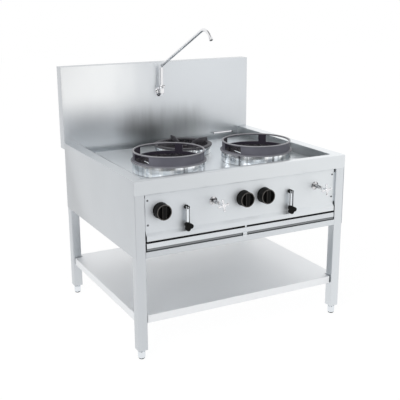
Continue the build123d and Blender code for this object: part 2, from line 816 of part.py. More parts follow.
# ---- drip tray: rolled front strip with its tab, and the pan --------------------------------------------
roll_y = front + tray_roll_set_back + tray_roll_radius
roll_z = tray_strip_foot - tray_roll_radius
tray_half = leg_in - tray_side_gap
strip_x = (-tray_half, tray_half)
strip = block(strip_x, (front, front + tray_wall), (tray_strip_foot, tray_top))
strip += block(strip_x, (front, roll_y), (tray_strip_foot - tray_wall, tray_strip_foot))
strip += block(strip_x, (front, front + tray_top_return), (tray_top - tray_wall, tray_top))
roll_ends = (strip_x[0], roll_y, roll_z), (strip_x[1], roll_y, roll_z)
strip += tube(tray_roll_radius, tray_roll_radius - tray_wall, *roll_ends)
tab_z = (tray_strip_foot + tab_lap - tab_height, tray_strip_foot + tab_lap)
tab_y = (front - tab_thickness, front)
tab = block(tab_x, tab_y, tab_z)
for x in (tab_x[0] + tab_hole_inset, tab_x[1] - tab_hole_inset):
    tab_hole_z = sum(tab_z) / 2
    tab -= rod(tab_hole_radius, (x, tab_y[0] - overcut, tab_hole_z), (x, tab_y[1] + overcut, tab_hole_z))
strip += tab

pan_x = (tray_pan_inset - tray_half, tray_half - tray_pan_inset)
pan_y = (front + tray_pan_set_back, back - rail_size - tray_rear_gap)
pan_floor = rail_top + tray_pan_rise
pan_top = pan_floor + tray_wall_height
strip += block(pan_x, (pan_y[0], pan_y[0] + tray_wall), (pan_top, tray_top))
strip -= block(pan_x, (pan_y[0], roll_y + tray_roll_radius + overcut), (pan_floor, pan_top))
save("drip_tray_front", strip)

save("drip_tray_floor", block(pan_x, pan_y, (pan_floor, pan_floor + tray_wall)))

wall_z = (pan_floor + tray_wall, pan_top)
pan_in_x = (pan_x[0] + tray_wall, pan_x[1] - tray_wall)
pan_walls = [
    block(pan_x, (pan_y[0], pan_y[0] + tray_wall), wall_z),
    block(pan_x, (pan_y[1] - tray_wall, pan_y[1]), wall_z),
]
for side_x in ((pan_x[0], pan_in_x[0]), (pan_in_x[1], pan_x[1])):
    pan_walls.append(block(side_x, (pan_y[0] + tray_wall, pan_y[1] - tray_wall), wall_z))
save("drip_tray_walls", *pan_walls)

runners = []
for side in (-1, 1):
    foot_x = sorted((side * (leg_in - runner_width), side * leg_in))
    web_x = sorted((side * (leg_in - runner_wall), side * leg_in))
    run_y = (front + rail_size, back - rail_size)
    runner_z = pan_floor - runner_gap
    runners.append(block(foot_x, run_y, (runner_z - runner_wall, runner_z)))
    runners.append(block(web_x, run_y, (runner_z, runner_z + runner_height)))
save("tray_runners", *runners)

# ---- collars, fire bowls, burner heads -----------------------------------------------------------------
for name, (x, y, hole) in burners.items():
    rear = name == "rear"
    radius = rear_collar_radius if rear else collar_radius
    top = rear_collar_top if rear else collar_top
    ledge_z = top - collar_wall
    collar = tube(radius, radius - collar_wall, (x, y, well_floor), (x, y, top))
    collar += tube(radius - collar_wall / 2, radius - collar_ledge, (x, y, ledge_z), (x, y, top))
    slot_x = (x - collar_slot_width / 2, x + collar_slot_width / 2)
    slot_z = (well_floor - overcut, well_floor + collar_slot_height)
    collar -= block(slot_x, (y - radius - overcut, y - radius + 2 * collar_wall), slot_z)
    save(f"burner_collar_{name}", collar)

    mouth = hole - bowl_mouth_gap
    throat = mouth * bowl_throat_ratio
    bowl_foot = well_floor - bowl_depth
    bowl = turned(
        (
            (mouth, well_floor),
            (hole + bowl_flange, well_floor),
            (hole + bowl_flange, well_floor + bowl_wall),
            (mouth - bowl_wall, well_floor + bowl_wall),
            (mouth - bowl_wall, well_floor - bowl_rim_depth),
            (throat - bowl_wall, bowl_foot + bowl_throat_height),
            (throat - bowl_wall, bowl_foot),
            (throat, bowl_foot),
            (throat, bowl_foot + bowl_throat_height - bowl_wall_shift),
            (mouth, well_floor - bowl_rim_depth - bowl_wall_shift),
        ),
        (x, y, 0),
    )
    spoke_reach = throat - bowl_wall / 4
    head_foot = bowl_foot + spoke_height
    spoke_z = (bowl_foot, head_foot)
    half_spoke = spoke_width / 2
    spokes = block((x - spoke_reach, x + spoke_reach), (y - half_spoke, y + half_spoke), spoke_z)
    spokes += block((x - half_spoke, x + half_spoke), (y - spoke_reach, y + spoke_reach), spoke_z)
    mixer_hole_ends = (x, y, bowl_foot - overcut), (x, y, head_foot + overcut)
    bowl += spokes - rod(mixer_radius + mixer_hole_gap, *mixer_hole_ends)
    if not rear:
        pilot_at = (x - pilot_offset, y - pilot_front)
        bowl -= rod(pilot_radius + pilot_hole_gap, (*pilot_at, bowl_foot), (*pilot_at, well_floor))
    save(f"fire_bowl_{name}", bowl)

    head_radius = mouth * head_radius_ratio
    head_top = head_foot + head_height
    head = turned(
        (
            (0, head_foot),
            (head_radius * head_base_ratio, head_foot),
            (head_radius, head_foot + head_flare),
            (head_radius, head_top - head_edge),
            (head_radius - head_edge, head_top),
            (0, head_top),
        ),
        (x, y, 0),
    )
    for ratio, count in zip(jet_ring_ratios, jet_counts):
        for place in PolarLocations(head_radius * ratio, count):
            jet_at = (x + place.position.X, y + place.position.Y)
            head += rod(jet_radius, (*jet_at, head_top - jet_seat), (*jet_at, head_top + jet_height))
    mixer_z = bowl_foot - mixer_drop
    mouth_y = manifold_y + mixer_gap
    mixer_path = (x, y, head_foot + jet_seat), (x, y, mixer_z), (x, mouth_y, mixer_z)
    mixer = bent_pipe(mixer_path, mixer_bend, mixer_radius)
    bell = rod(mixer_radius + bell_flare, (x, mouth_y, mixer_z), (x, mouth_y + bell_length, mixer_z))
    mixer_hole = (x, mouth_y - overcut, mixer_z), (x, mouth_y + mixer_bore_length, mixer_z)
    save(f"burner_{name}", head + mixer + bell - rod(mixer_bore, *mixer_hole))

# ---- cast wok rings --------------------------------------------------------------------------------------
flange_top = play + ring_flange_height
bead_foot = ring_top_height - ring_bead_height
bore = ring_radius - ring_wall
spigot = collar_radius - collar_ledge - ring_spigot_gap
window_z = flange_top + ring_edge
for name, side in (("left", -1), ("right", 1)):
    ring = turned(
        (
            (bore, -ring_spigot),
            (spigot, -ring_spigot),
            (spigot, play),
            (ring_flange_radius - ring_edge, play),
            (ring_flange_radius, play + ring_edge),
            (ring_flange_radius, flange_top - ring_edge),
            (ring_flange_radius - ring_edge, flange_top),
            (ring_radius, window_z),
            (ring_radius, bead_foot),
            (ring_bead_radius, bead_foot + ring_edge / 2),
            (ring_bead_radius, ring_top_height - ring_edge),
            (ring_bead_radius - ring_edge, ring_top_height),
            (bore + ring_edge / 2, ring_top_height),
            (bore, ring_top_height - ring_edge / 2),
        )
    )
    for start, end in ring_window_angles:
        opening = extrude(wedge(2 * ring_radius, start, end), bead_foot - window_z)
        ring -= Pos(0, 0, window_z) * opening
    save(f"wok_ring_{name}", Pos(side * burner_x, burner_y, collar_top) * ring)

# ---- pan ring with four fins -------------------------------------------------------------------------------
pan_ring_foot = rear_collar_top + play
pan_ring_top = pan_ring_foot + pan_ring_height
pan_ring_middle = pan_ring_foot + pan_ring_height / 2
pan_ring = turned(
    (
        (pan_ring_bore, pan_ring_middle),
        (pan_ring_bore + pan_ring_edge, pan_ring_foot),
        (pan_ring_radius - pan_ring_edge, pan_ring_foot),
        (pan_ring_radius, pan_ring_middle),
        (pan_ring_radius - pan_ring_edge, pan_ring_top),
        (pan_ring_bore + pan_ring_edge, pan_ring_top),
    ),
    (0, rear_burner_y, 0),
)
fin_outer = pan_ring_radius - fin_root
fin = make_face(
    Polyline(
        (fin_outer, pan_ring_foot + fin_foot),
        (fin_outer, pan_ring_top),
        (fin_outer - fin_slope, pan_ring_top + fin_rise),
        (fin_knee, pan_ring_top + fin_rise),
        (fin_tip, pan_ring_top + fin_tip_rise),
        (fin_tip, pan_ring_foot + fin_foot),
        close=True,
    )
)
fin = extrude(Plane.XZ * fin, fin_thickness / 2, both=True)
for turn in range(4):
    pan_ring += Pos(0, rear_burner_y, 0) * (Rot(0, 0, 90 * turn) * fin)
save("pan_ring_rear", pan_ring)

# ---- gas: manifold, taps, lever valves, inlet pipe, branches, pilots --------------------------------------
manifold_ends = (-manifold_half, manifold_y, control_z), (manifold_half, manifold_y, control_z)
manifold = rod(gas_pipe_radius, *manifold_ends)
for x in (-manifold_half, manifold_half - manifold_cap_length):
    cap_ends = (x, manifold_y, control_z), (x + manifold_cap_length, manifold_y, control_z)
    manifold += rod(gas_pipe_radius + manifold_cap_wall, *cap_ends)
blind_end = (manifold_end_wall - manifold_half, manifold_y, control_z)
save("gas_manifold", manifold - rod(gas_pipe_bore, blind_end, manifold_ends[1]))

valve_y = (panel_back + valve_gap, panel_back + valve_gap + valve_length)
valve_middle = sum(valve_y) / 2
spindle_bore_y = (panel_back - overcut, panel_back + spindle_reach + spindle_end_gap)
for node, places, half in (
    ("gas_taps", knob_x, knob_valve_half),
    ("lever_valves", lever_x, lever_valve_half),
):
    valves = []
    for x in places:
        body = block((x - half, x + half), valve_y, (control_z - half, control_z + half))
        body = chamfer(body.edges().filter_by(Axis.Y), valve_edge)
        middle = (x, valve_middle, control_z)
        body += rod(valve_neck_radius, middle, (x, manifold_y, control_z))
        body += rod(valve_neck_radius + valve_collar_wall, (x, panel_back, control_z), middle)
        body -= manifold
        outlet = (x, valve_middle, control_z - half - outlet_boss)
        body += rod(branch_radius + outlet_boss_wall, middle, outlet)
        bore_ends = (x, spindle_bore_y[0], control_z), (x, spindle_bore_y[1], control_z)
        valves.append(body - rod(spindle_radius + spindle_clearance, *bore_ends))
    save(node, *valves)

thread_foot = inlet_end - thread_length
thread_start = (gas_riser_x, thread_foot, control_z)
gas_inlet_path = (manifold_ends[1], (gas_riser_x, manifold_y, control_z), thread_start)
gas_inlet = bent_pipe(gas_inlet_path, gas_bend, gas_pipe_radius, gas_pipe_bore)
gas_inlet += tube(gas_thread_radius, gas_pipe_bore, thread_start, (gas_riser_x, inlet_end, control_z))
save("gas_inlet_pipe", gas_inlet)

gas_pipes = []
injector_y = manifold_y + mixer_gap - injector_gap
for tap_at, half, burner in (
    (lever_x[0], lever_valve_half, "left"),
    (lever_x[1], lever_valve_half, "right"),
    (knob_x[1], knob_valve_half, "rear"),
):
    x = burners[burner][0]
    level = well_floor - bowl_depth - mixer_drop
    corners = [
        (tap_at, valve_middle, control_z - half - outlet_boss),
        (tap_at, valve_middle, level),
        (x, injector_y - injector_length, level),
        (x, injector_y, level),
    ]
    if x == tap_at:
        corners.pop(2)
    gas_pipes.append(bent_pipe(corners, branch_bend, branch_radius))
save("gas_pipes", *gas_pipes)

pilots = []
for tap_at, burner in ((knob_x[0], "left"), (knob_x[2], "right")):
    x = burners[burner][0] - pilot_offset
    y = burners[burner][1]
    tip_z = well_floor + pilot_rise
    corners = (
        (tap_at, valve_middle, control_z - knob_valve_half - outlet_boss),
        (tap_at, valve_middle, pipe_level),
        (x, y - pilot_front, pipe_level),
        (x, y - pilot_front, tip_z),
        (x, y - pilot_back, tip_z),
    )
    pilots.append(bent_pipe(corners, pilot_bend, pilot_radius, pilot_bore))
save("pilot_tubes", *pilots)

# ---- water: supply, outlets to the spout and the rinse pipe ------------------------------------------------
header_z = control_z - water_header_drop
port_foot = tap_z - tap_port
supply_path = (
    (water_inlet_x, inlet_end, pipe_level),
    (water_inlet_x, port_y, pipe_level),
    (water_inlet_x, port_y, header_z),
    (tap_x[0], port_y, header_z),
    (tap_x[0], port_y, port_foot),
)
branch_ends = ((tap_x[1], port_y, header_z), (tap_x[1], port_y, port_foot))
water_thread = (water_inlet_x, thread_foot, pipe_level), (water_inlet_x, inlet_end, pipe_level)
supply = bent_pipe(supply_path, water_bend, water_pipe_radius)
supply += rod(water_pipe_radius, *branch_ends) + rod(water_thread_radius, *water_thread)
supply -= bent_pipe(supply_path, water_bend, water_pipe_bore) + rod(water_pipe_bore, *branch_ends)

outlets = []
rear_run_y = back + water_off_wall
over_z = control_z + water_over_rise
over_y = manifold_y + water_over_gap
for x, end_x, end_y, end_z in (
    (tap_x[0], 0, back + sheet, wall_tap_z),
    (tap_x[1], rinse_wall_x, back + rinse_tail, rinse_z),
):
    corners = (
        (x, port_y, tap_z + tap_port),
        (x, port_y, over_z),
        (x, over_y, over_z),
        (x, over_y, water_return_z),
        (x, rear_run_y, water_return_z),
        (x, rear_run_y, end_z),
        (end_x, rear_run_y, end_z),
        (end_x, end_y, end_z),
    )
    outlets.append(bent_pipe(corners, water_bend, water_pipe_radius, water_pipe_bore))
save("water_pipes", supply, *outlets)

# ---- wall tap and swivel spout ----------------------------------------------------------------------------
wall_tap = turned_forward(
    (
        (0, 0),
        (escutcheon_radius, 0),
        (escutcheon_radius, escutcheon_rim),
        (wall_tap_radius, escutcheon_height),
        (0, escutcheon_height),
    ),
    (0, back, wall_tap_z),
)
tap_foot = wall_tap_z - wall_tap_below
nut_foot = wall_tap_z + wall_tap_above
riser_foot = nut_foot + nut_height
spigot_foot = riser_foot - spout_spigot
wall_tap += rod(wall_stub_radius, (0, back + sheet, wall_tap_z), (0, riser_y, wall_tap_z))
wall_tap += rod(wall_tap_radius, (0, riser_y, tap_foot), (0, riser_y, nut_foot))
wall_tap += rod(wall_tap_plug_radius, (0, riser_y, tap_foot - wall_tap_plug), (0, riser_y, tap_foot))
wall_tap += hexagon(nut_across, (nut_foot, riser_foot), (0, riser_y))
socket_ends = (0, riser_y, spigot_foot), (0, riser_y, riser_foot + overcut)
save("wall_tap_body", wall_tap - rod(spout_radius + spout_clearance, *socket_ends))

knee = Vector(0, riser_y, riser_foot + spout_riser)
peak = knee + Vector(0, -spout_run, spout_climb)
outlet = peak + Vector(0, -spout_tip_run, -spout_tip_drop)
nozzle_start = outlet - (outlet - peak).normalized() * nozzle_length
spout_path = (0, riser_y, spigot_foot + spout_end_gap), tuple(knee), tuple(peak), tuple(outlet)
spout = bent_pipe(spout_path, (knee_bend, tip_bend), spout_radius, spout_bore)
spout += tube(nozzle_radius, spout_bore, tuple(nozzle_start), tuple(outlet))
save("swivel_spout", spout)

# ---- rinse pipe, gutter drain ------------------------------------------------------------------------------
rinse_y = back - rinse_off_wall - rinse_radius
rinse_path = (
    (rinse_wall_x - rinse_length, rinse_y, rinse_z),
    (rinse_wall_x, rinse_y, rinse_z),
    (rinse_wall_x, back + rinse_tail, rinse_z),
)
save("rinse_pipe", bent_pipe(rinse_path, rinse_bend, rinse_radius, rinse_bore))

waste_top = gutter_floor - sheet
waste_start = (drain_x, gutter_y, waste_top)
waste_path = (waste_start, (drain_x, gutter_y, waste_level), (drain_x, inlet_end, waste_level))
waste = bent_pipe(waste_path, waste_bend, waste_radius, waste_bore)
waste += tube(waste_flange, waste_bore, (drain_x, gutter_y, waste_top - waste_flange_height), waste_start)
save("waste_pipe", waste)

cup_in = strainer_cup - sheet
cup_floor = gutter_floor - strainer_depth
strainer = turned(
    (
        (0, cup_floor),
        (strainer_cup, cup_floor),
        (strainer_cup, gutter_floor + play),
        (strainer_radius, gutter_floor + play),
        (strainer_radius, gutter_floor + play + sheet),
        (cup_in, gutter_floor + play + sheet),
        (cup_in, cup_floor + sheet),
        (0, cup_floor + sheet),
    ),
    (drain_x, gutter_y, 0),
)
drill_z = (cup_floor - overcut, cup_floor + sheet + overcut)
for radius, count in zip(strainer_ring_radii, strainer_counts):
    for place in PolarLocations(radius, count):
        hole_at = (drain_x + place.position.X, gutter_y + place.position.Y)
        strainer -= rod(strainer_hole, (*hole_at, drill_z[0]), (*hole_at, drill_z[1]))
save("gutter_strainer", strainer)
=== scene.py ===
import math
import bmesh
import bpy
from mathutils import Matrix, Vector


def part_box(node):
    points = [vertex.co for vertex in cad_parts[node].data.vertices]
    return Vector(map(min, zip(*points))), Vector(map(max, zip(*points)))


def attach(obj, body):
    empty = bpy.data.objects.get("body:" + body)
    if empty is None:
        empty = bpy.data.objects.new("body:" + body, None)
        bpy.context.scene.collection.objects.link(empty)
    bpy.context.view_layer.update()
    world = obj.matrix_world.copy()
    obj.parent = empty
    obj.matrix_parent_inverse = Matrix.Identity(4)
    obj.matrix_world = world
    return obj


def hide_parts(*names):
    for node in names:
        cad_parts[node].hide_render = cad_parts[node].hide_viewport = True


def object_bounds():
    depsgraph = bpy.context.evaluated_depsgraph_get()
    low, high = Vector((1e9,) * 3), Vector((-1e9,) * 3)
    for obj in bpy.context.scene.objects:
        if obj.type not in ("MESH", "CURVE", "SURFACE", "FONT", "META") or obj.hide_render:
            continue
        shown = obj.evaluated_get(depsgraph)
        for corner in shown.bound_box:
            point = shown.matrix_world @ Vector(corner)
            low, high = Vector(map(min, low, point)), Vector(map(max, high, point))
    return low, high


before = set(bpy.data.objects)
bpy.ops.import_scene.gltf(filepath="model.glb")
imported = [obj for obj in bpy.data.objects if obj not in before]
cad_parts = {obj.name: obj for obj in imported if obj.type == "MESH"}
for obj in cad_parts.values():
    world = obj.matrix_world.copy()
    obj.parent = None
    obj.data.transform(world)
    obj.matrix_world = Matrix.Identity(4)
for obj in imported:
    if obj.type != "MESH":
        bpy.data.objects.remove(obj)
cad_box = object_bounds()

# ---- Camera ----
# The photographer stands to the left of the cook's place, a little above shoulder height, and looks
# down at the range with a long lens, so the far end of the worktop is hardly smaller than the near one.
eye = (-1.88965, -3.57539, 1.76095)
heading = math.radians(27.79)
tilt = math.radians(15.845)
roll = math.radians(-0.218)

lens = bpy.data.cameras.new("lens")
lens.lens = 68.33
camera = bpy.data.objects.new("camera", lens)
camera.matrix_world = (
    Matrix.Translation(eye)
    @ Matrix.Rotation(-heading, 4, "Z")
    @ Matrix.Rotation(math.pi / 2 - tilt, 4, "X")
    @ Matrix.Rotation(roll, 4, "Z")
)
bpy.context.scene.collection.objects.link(camera)
bpy.context.scene.camera = camera


# ---- Studio ----
# A white sweep of paper under and behind the range, with a large soft lamp high on the left and even
# light from all sides. Polished metal also shows the dark room behind the camera, overhead and at its
# far sides, and a whiter wall on the right.
class Signal:
    """One output of a shader node. Arithmetic on it adds Math nodes."""

    def __init__(self, nodes, socket):
        self.nodes = nodes
        self.socket = socket

    def maths(self, operation, first, second):
        return self.nodes.node("ShaderNodeMath", {"operation": operation}, {0: first, 1: second})

    def __add__(self, other):
        return self.maths("ADD", self, other)

    def __sub__(self, other):
        return self.maths("SUBTRACT", self, other)

    def __rsub__(self, other):
        return self.maths("SUBTRACT", other, self)

    def __mul__(self, other):
        return self.maths("MULTIPLY", self, other)

    __radd__ = __add__
    __rmul__ = __mul__


class Nodes:
    """The nodes of one finish, or of the studio's light."""

    def __init__(self, tree):
        self.tree = tree

    def feed(self, node, sockets):
        for name, value in sockets.items():
            if isinstance(value, Signal):
                self.tree.links.new(value.socket, node.inputs[name])
            else:
                node.inputs[name].default_value = value

    def node(self, kind, settings=None, sockets=None, output=0):
        """Adds a node of any kind, its settings first, and returns one of its outputs."""
        made = self.tree.nodes.new(kind)
        for name, value in (settings or {}).items():
            setattr(made, name, value)
        self.feed(made, sockets or {})
        return Signal(self, made.outputs[output])

    def rising(self, value, start, end):
        """0 before one value, 1 past another, and a smooth rise between them."""
        ends = {"Value": value, "From Min": start, "From Max": end}
        return self.node("ShaderNodeMapRange", {"interpolation_type": "SMOOTHSTEP"}, ends)

    def white_paper_seen(self):
        """1 for the rays that show the white studio: to the camera, off metal and through glass."""
        kinds = ("Camera", "Glossy", "Transmission")
        rays = [self.node("ShaderNodeLightPath", output=f"Is {kind} Ray") for kind in kinds]
        seen, mirrored, refracted = rays
        return seen.maths("MAXIMUM", seen + mirrored, refracted)


class Finish(Nodes):
    """A procedural finish, with the record's slot that it belongs to."""

    def __init__(self, name, slot="", **constants):
        self.slot = slot
        self.material = bpy.data.materials.new(name)
        self.material.use_nodes = True
        super().__init__(self.material.node_tree)
        self.shader = self.tree.nodes["Principled BSDF"]
        self.surface(**constants)

    def surface(self, **sockets):
        self.feed(self.shader, {name.replace("_", " "): value for name, value in sockets.items()})

    def place(self, axis=None):
        """Where a point of the piece lies, or one of its coordinates."""
        point = self.node("ShaderNodeTexCoord", output="Object")
        return point if axis is None else self.node("ShaderNodeSeparateXYZ", sockets={0: point}, output=axis)

    def noise(self, scale, detail=3.0, stretch=(1.0, 1.0, 1.0)):
        stretched = self.node("ShaderNodeMapping", sockets={"Vector": self.place(), "Scale": stretch})
        sockets = {"Vector": stretched, "Scale": scale, "Detail": detail}
        return self.node("ShaderNodeTexNoise", sockets=sockets)

    def mixed(self, amount, first, second):
        """A colour between two, each given by its numbers or as another mixed colour."""
        colours = [colour if isinstance(colour, Signal) else (*colour, 1.0) for colour in (first, second)]
        sockets = {0: amount, 6: colours[0], 7: colours[1]}
        return self.node("ShaderNodeMix", {"data_type": "RGBA", "clamp_factor": True}, sockets, output=2)

    def relief(self, height, strength, distance):
        sockets = {"Strength": strength, "Distance": distance, "Height": height}
        self.surface(Normal=self.node("ShaderNodeBump", sockets=sockets))


paper_size = 30.0
paper_white = 0.90       # share of the paper's own white that its shadow can't darken
paper_glow = 1.03
paper_gap = 0.0005       # the paper lies this far below the feet
mesh = bmesh.new()
bmesh.ops.create_grid(mesh, x_segments=2, y_segments=2, size=paper_size / 2)
bmesh.ops.translate(mesh, verts=mesh.verts, vec=(0, 0, cad_box[0].z - paper_gap))
paper_mesh = bpy.data.meshes.new("paper")
mesh.to_mesh(paper_mesh)
mesh.free()
paper = bpy.data.objects.new("paper", paper_mesh)
bpy.context.scene.collection.objects.link(paper)
paper_finish = Finish("paper_white", Base_Color=(1.0, 1.0, 1.0, 1.0), Roughness=0.9)
glow = paper_finish.node("ShaderNodeEmission", sockets={"Strength": paper_glow})
share = paper_finish.white_paper_seen() * paper_white
lit = Signal(paper_finish, paper_finish.shader.outputs[0])
blend = paper_finish.node("ShaderNodeMixShader", sockets={0: share, 1: lit, 2: glow})
paper_finish.feed(paper_finish.tree.nodes["Material Output"], {"Surface": blend})
paper_mesh.materials.append(paper_finish.material)

daylight = 0.74
dark_room = 0.85         # how much of the light metal misses behind the camera
dark_corners = 0.7       # and overhead and at the far sides
white_wall = 0.14        # how much more it gets from the wall on the right
cook_side = (-0.48, -0.86, 0.17)
lamp_aim = Vector((0, 0, 0.7))
world = bpy.data.worlds.new("studio")
bpy.context.scene.world = world
world.use_nodes = True
sky = Nodes(world.node_tree)
way = sky.node("ShaderNodeTexCoord", output="Generated")
dot_product = {"operation": "DOT_PRODUCT"}
behind_camera = sky.node("ShaderNodeVectorMath", dot_product, {0: way, 1: cook_side}, output="Value")
glossy = sky.node("ShaderNodeLightPath", output="Is Glossy Ray")
unlit = sky.rising(behind_camera, 0.84, 0.95) * glossy * dark_room
to_the_right, upward = [sky.node("ShaderNodeSeparateXYZ", sockets={0: way}, output=axis) for axis in (0, 2)]
wall = sky.rising(to_the_right, 0.25, 0.62) * glossy * white_wall
far_sides = sky.rising(to_the_right * to_the_right, 0.66, 0.88)
corners = (far_sides + sky.rising(upward, 0.80, 0.95)) * glossy * dark_corners
strength = sky.white_paper_seen() * (1.0 - daylight) + daylight - unlit + wall - corners
sky.feed(sky.tree.nodes["Background"], {"Color": (1.0, 1.0, 1.0, 1.0), "Strength": strength})

lamp = bpy.data.lights.new("soft_lamp", "AREA")
lamp.size = 2.4
lamp.energy = 60.0
stand = bpy.data.objects.new("soft_lamp", lamp)
stand.location = (-3.2, -2.6, 3.4)
stand.rotation_euler = (lamp_aim - stand.location).to_track_quat("-Z", "Y").to_euler()
bpy.context.scene.collection.objects.link(stand)
bpy.context.scene.view_settings.view_transform = "Standard"

# ---- Feet ----
# Four bullet-shaped feet of polished stainless steel, each turned from bar with a threaded stud that
# screws into the bush of its leg, so that the worktop can be levelled. A band of black plastic at the
# base of each is a painted reflection of the dark that the polished foot mirrors there.
mm = 0.001
left_right = ("left", "right")
front_rear = ("front", "rear")


def stainless(name, slot, tone, gloss, grain, cloud=0.05, relief=0.03):
    """Stainless steel: fine grain along one direction, and soft clouds where it was wiped."""
    finish = Finish(name, slot, Metallic=1.0)
    brushed = finish.noise(60.0, 2.0, grain)
    cloudy = finish.noise(3.0)
    cool = (0.96 * tone, tone, 1.04 * tone)
    dark, light = [[min(1.0, channel * (1 + step)) for channel in cool] for step in (-cloud, cloud)]
    finish.colour = finish.mixed(cloudy * 1.6 - 0.3, dark, light)
    finish.surface(Base_Color=finish.colour, Roughness=brushed * 0.08 + cloudy * 0.06 + (gloss - 0.07))
    finish.relief(brushed, relief, 0.0002)
    return finish


def mottled(name, slot, spots, dark, light, gloss, contrast=None, **constants):
    """A finish that wavers between two tones, and in its gloss, over spots of one size."""
    finish = Finish(name, slot, **constants)
    finish.spots = finish.noise(*spots)
    share = finish.spots * contrast[0] - contrast[1] if contrast else finish.spots
    finish.surface(Base_Color=finish.mixed(share, dark, light), Roughness=finish.spots * gloss[0] + gloss[1])
    return finish


def finished(mesh, name, body, finish, *nodes, trim=None, sharp=32):
    """Closes a mesh, turns its faces outwards and hangs it on its body in place of its CAD nodes."""
    bmesh.ops.remove_doubles(mesh, verts=mesh.verts, dist=0.00001)
    bmesh.ops.dissolve_degenerate(mesh, edges=mesh.edges, dist=0.000005)
    bmesh.ops.recalc_face_normals(mesh, faces=mesh.faces)
    data = bpy.data.meshes.new(name)
    mesh.to_mesh(data)
    mesh.free()
    data.polygons.foreach_set("use_smooth", [True] * len(data.polygons))
    data.set_sharp_from_angle(angle=math.radians(sharp))
    for coat in (finish, trim) if trim else (finish,):
        data.materials.append(coat.material)
    piece = bpy.data.objects.new(name, data)
    bpy.context.scene.collection.objects.link(piece)
    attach(piece, body)
    if nodes:
        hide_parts(*nodes)
    return piece


def trimmed(mesh, wanted):
    """Gives faces the piece's second finish, chosen by the face and its middle."""
    for face in mesh.faces:
        if wanted(face, face.calc_center_median()):
            face.material_index = 1


def placed(mesh, verts, place, forward=True):
    """Puts points in their place, after a quarter turn that makes their upper side face the cook."""
    if forward:
        bmesh.ops.rotate(mesh, verts=verts, cent=(0, 0, 0), matrix=Matrix.Rotation(math.pi / 2, 3, "X"))
    bmesh.ops.translate(mesh, verts=verts, vec=place)


def turned(mesh, profile, place=(0.0, 0.0, 0.0), forward=False, steps=64):
    """Spins (radius, height) points, in millimetres, about an upright axis or one towards the cook."""
    before = set(mesh.verts)
    corners = [mesh.verts.new((radius * mm, 0, height * mm)) for radius, height in profile]
    line = [mesh.edges.new(pair) for pair in zip(corners, corners[1:])]
    bmesh.ops.spin(
        mesh, geom=corners + line, cent=(0, 0, 0), axis=(0, 0, 1), angle=2 * math.pi, steps=steps,
        use_merge=True,
    )
    placed(mesh, [vert for vert in mesh.verts if vert not in before], place, forward)


polished = stainless("polished_foot", "bright_steel", 0.80, 0.10, (1, 1, 8), relief=0.01)
dark_base = mottled(
    "painted_reflection_base", "", (80.0,), (0.008, 0.008, 0.008), (0.03, 0.03, 0.03), (0.2, 0.5), Specular_IOR_Level=0.2
)
dark_base_height = 7 * mm
foot_profile = (
    (0, 0), (11.5, 0), (13, 0.6), (15, 2.6), (16.6, 5.6), (17.2, 7), (16.4, 7.2), (16.6, 7.6), (18.4, 11),
    (19, 16), (19, 38.6), (18.5, 40.6), (17.2, 42.4), (15.8, 43.4), (15, 44.8), (15, 49.7), (8, 49.7),
    (8, 91.8), (0, 91.8),
)
for depth in front_rear:
    for side in left_right:
        node = f"foot_{depth}_{side}"
        low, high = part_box(node)
        mesh = bmesh.new()
        turned(mesh, foot_profile, ((low.x + high.x) / 2, (low.y + high.y) / 2, low.z), steps=48)
        # The lowest band is painted black, a painted reflection.
        trimmed(mesh, lambda face, at: at.z < low.z + dark_base_height)
        finished(mesh, f"bullet_{depth}_{side}", node, polished, node, trim=dark_base, sharp=40)

# ---- Legs ----
# Four uprights of 50 mm square stainless tube with a satin finish. The worktop's rim rests on them,
# and an end plate with a threaded bush closes each one at the foot.
satin_tube = stainless("satin_tube", "stainless_frame", 0.66, 0.34, (12, 12, 0.2))
# Painted light: the tubes' colour grows lighter from left to right, as if more light fell from the right.
rightward = satin_tube.rising(satin_tube.place(0), -0.55, 0.55)
satin_tube.surface(Base_Color=satin_tube.mixed(rightward, (0.595, 0.62, 0.645), (0.70, 0.73, 0.755)))


def bevelled(mesh, edges, width, segments=3):
    """Rounds edges; the width is in millimetres."""
    return bmesh.ops.bevel(
        mesh, geom=edges, offset=width * mm, offset_type="OFFSET", segments=segments, profile=0.5,
        affect="EDGES", material=-1,
    )


def folds(mesh, degrees=20):
    """The edges where two faces meet at an angle."""
    two_faced = [edge for edge in mesh.edges if len(edge.link_faces) == 2]
    return [edge for edge in two_faced if edge.calc_face_angle() > math.radians(degrees)]


def linked(verts):
    """The edges that meet at some points."""
    return list({edge for vert in verts for edge in vert.link_edges})


def bar(mesh, low, high, edge=0.6, along=None, corner=3.0):
    """A square bar or slab between two corners, with rounder edges along one axis."""
    size, middle = high - low, (low + high) / 2
    place = Matrix.Translation(middle) @ Matrix.Diagonal((*size, 1.0))
    made = bmesh.ops.create_cube(mesh, size=1.0, matrix=place)["verts"]
    edges = linked(made)
    if along is not None:
        axis = Vector([float(index == along) for index in range(3)])
        long_ones = [e for e in edges if abs((e.verts[0].co - e.verts[1].co).normalized().dot(axis)) > 0.9]
        bevelled(mesh, long_ones, corner)
    elif edge:
        bevelled(mesh, edges, edge, 2)


def plain(name, finish, node, **shape):
    """A straight bar or flat sheet that fills the box of its CAD node."""
    mesh = bmesh.new()
    bar(mesh, *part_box(node), **shape)
    finished(mesh, name, "range_frame", finish, node)


for depth in front_rear:
    for side in left_right:
        plain(f"upright_{depth}_{side}", satin_tube, f"leg_{depth}_{side}", along=2)

# ---- Lower rails ----
# Four rails of 30 mm square tube, welded between the legs under the drip tray. Their welds are ground
# flush, and the front one shows under the tray's rolled edge.
for side, along in (("front", 0), ("rear", 0), ("left", 1), ("right", 1)):
    plain(f"rail_{side}", satin_tube, f"lower_rail_{side}", along=along, corner=2.0)

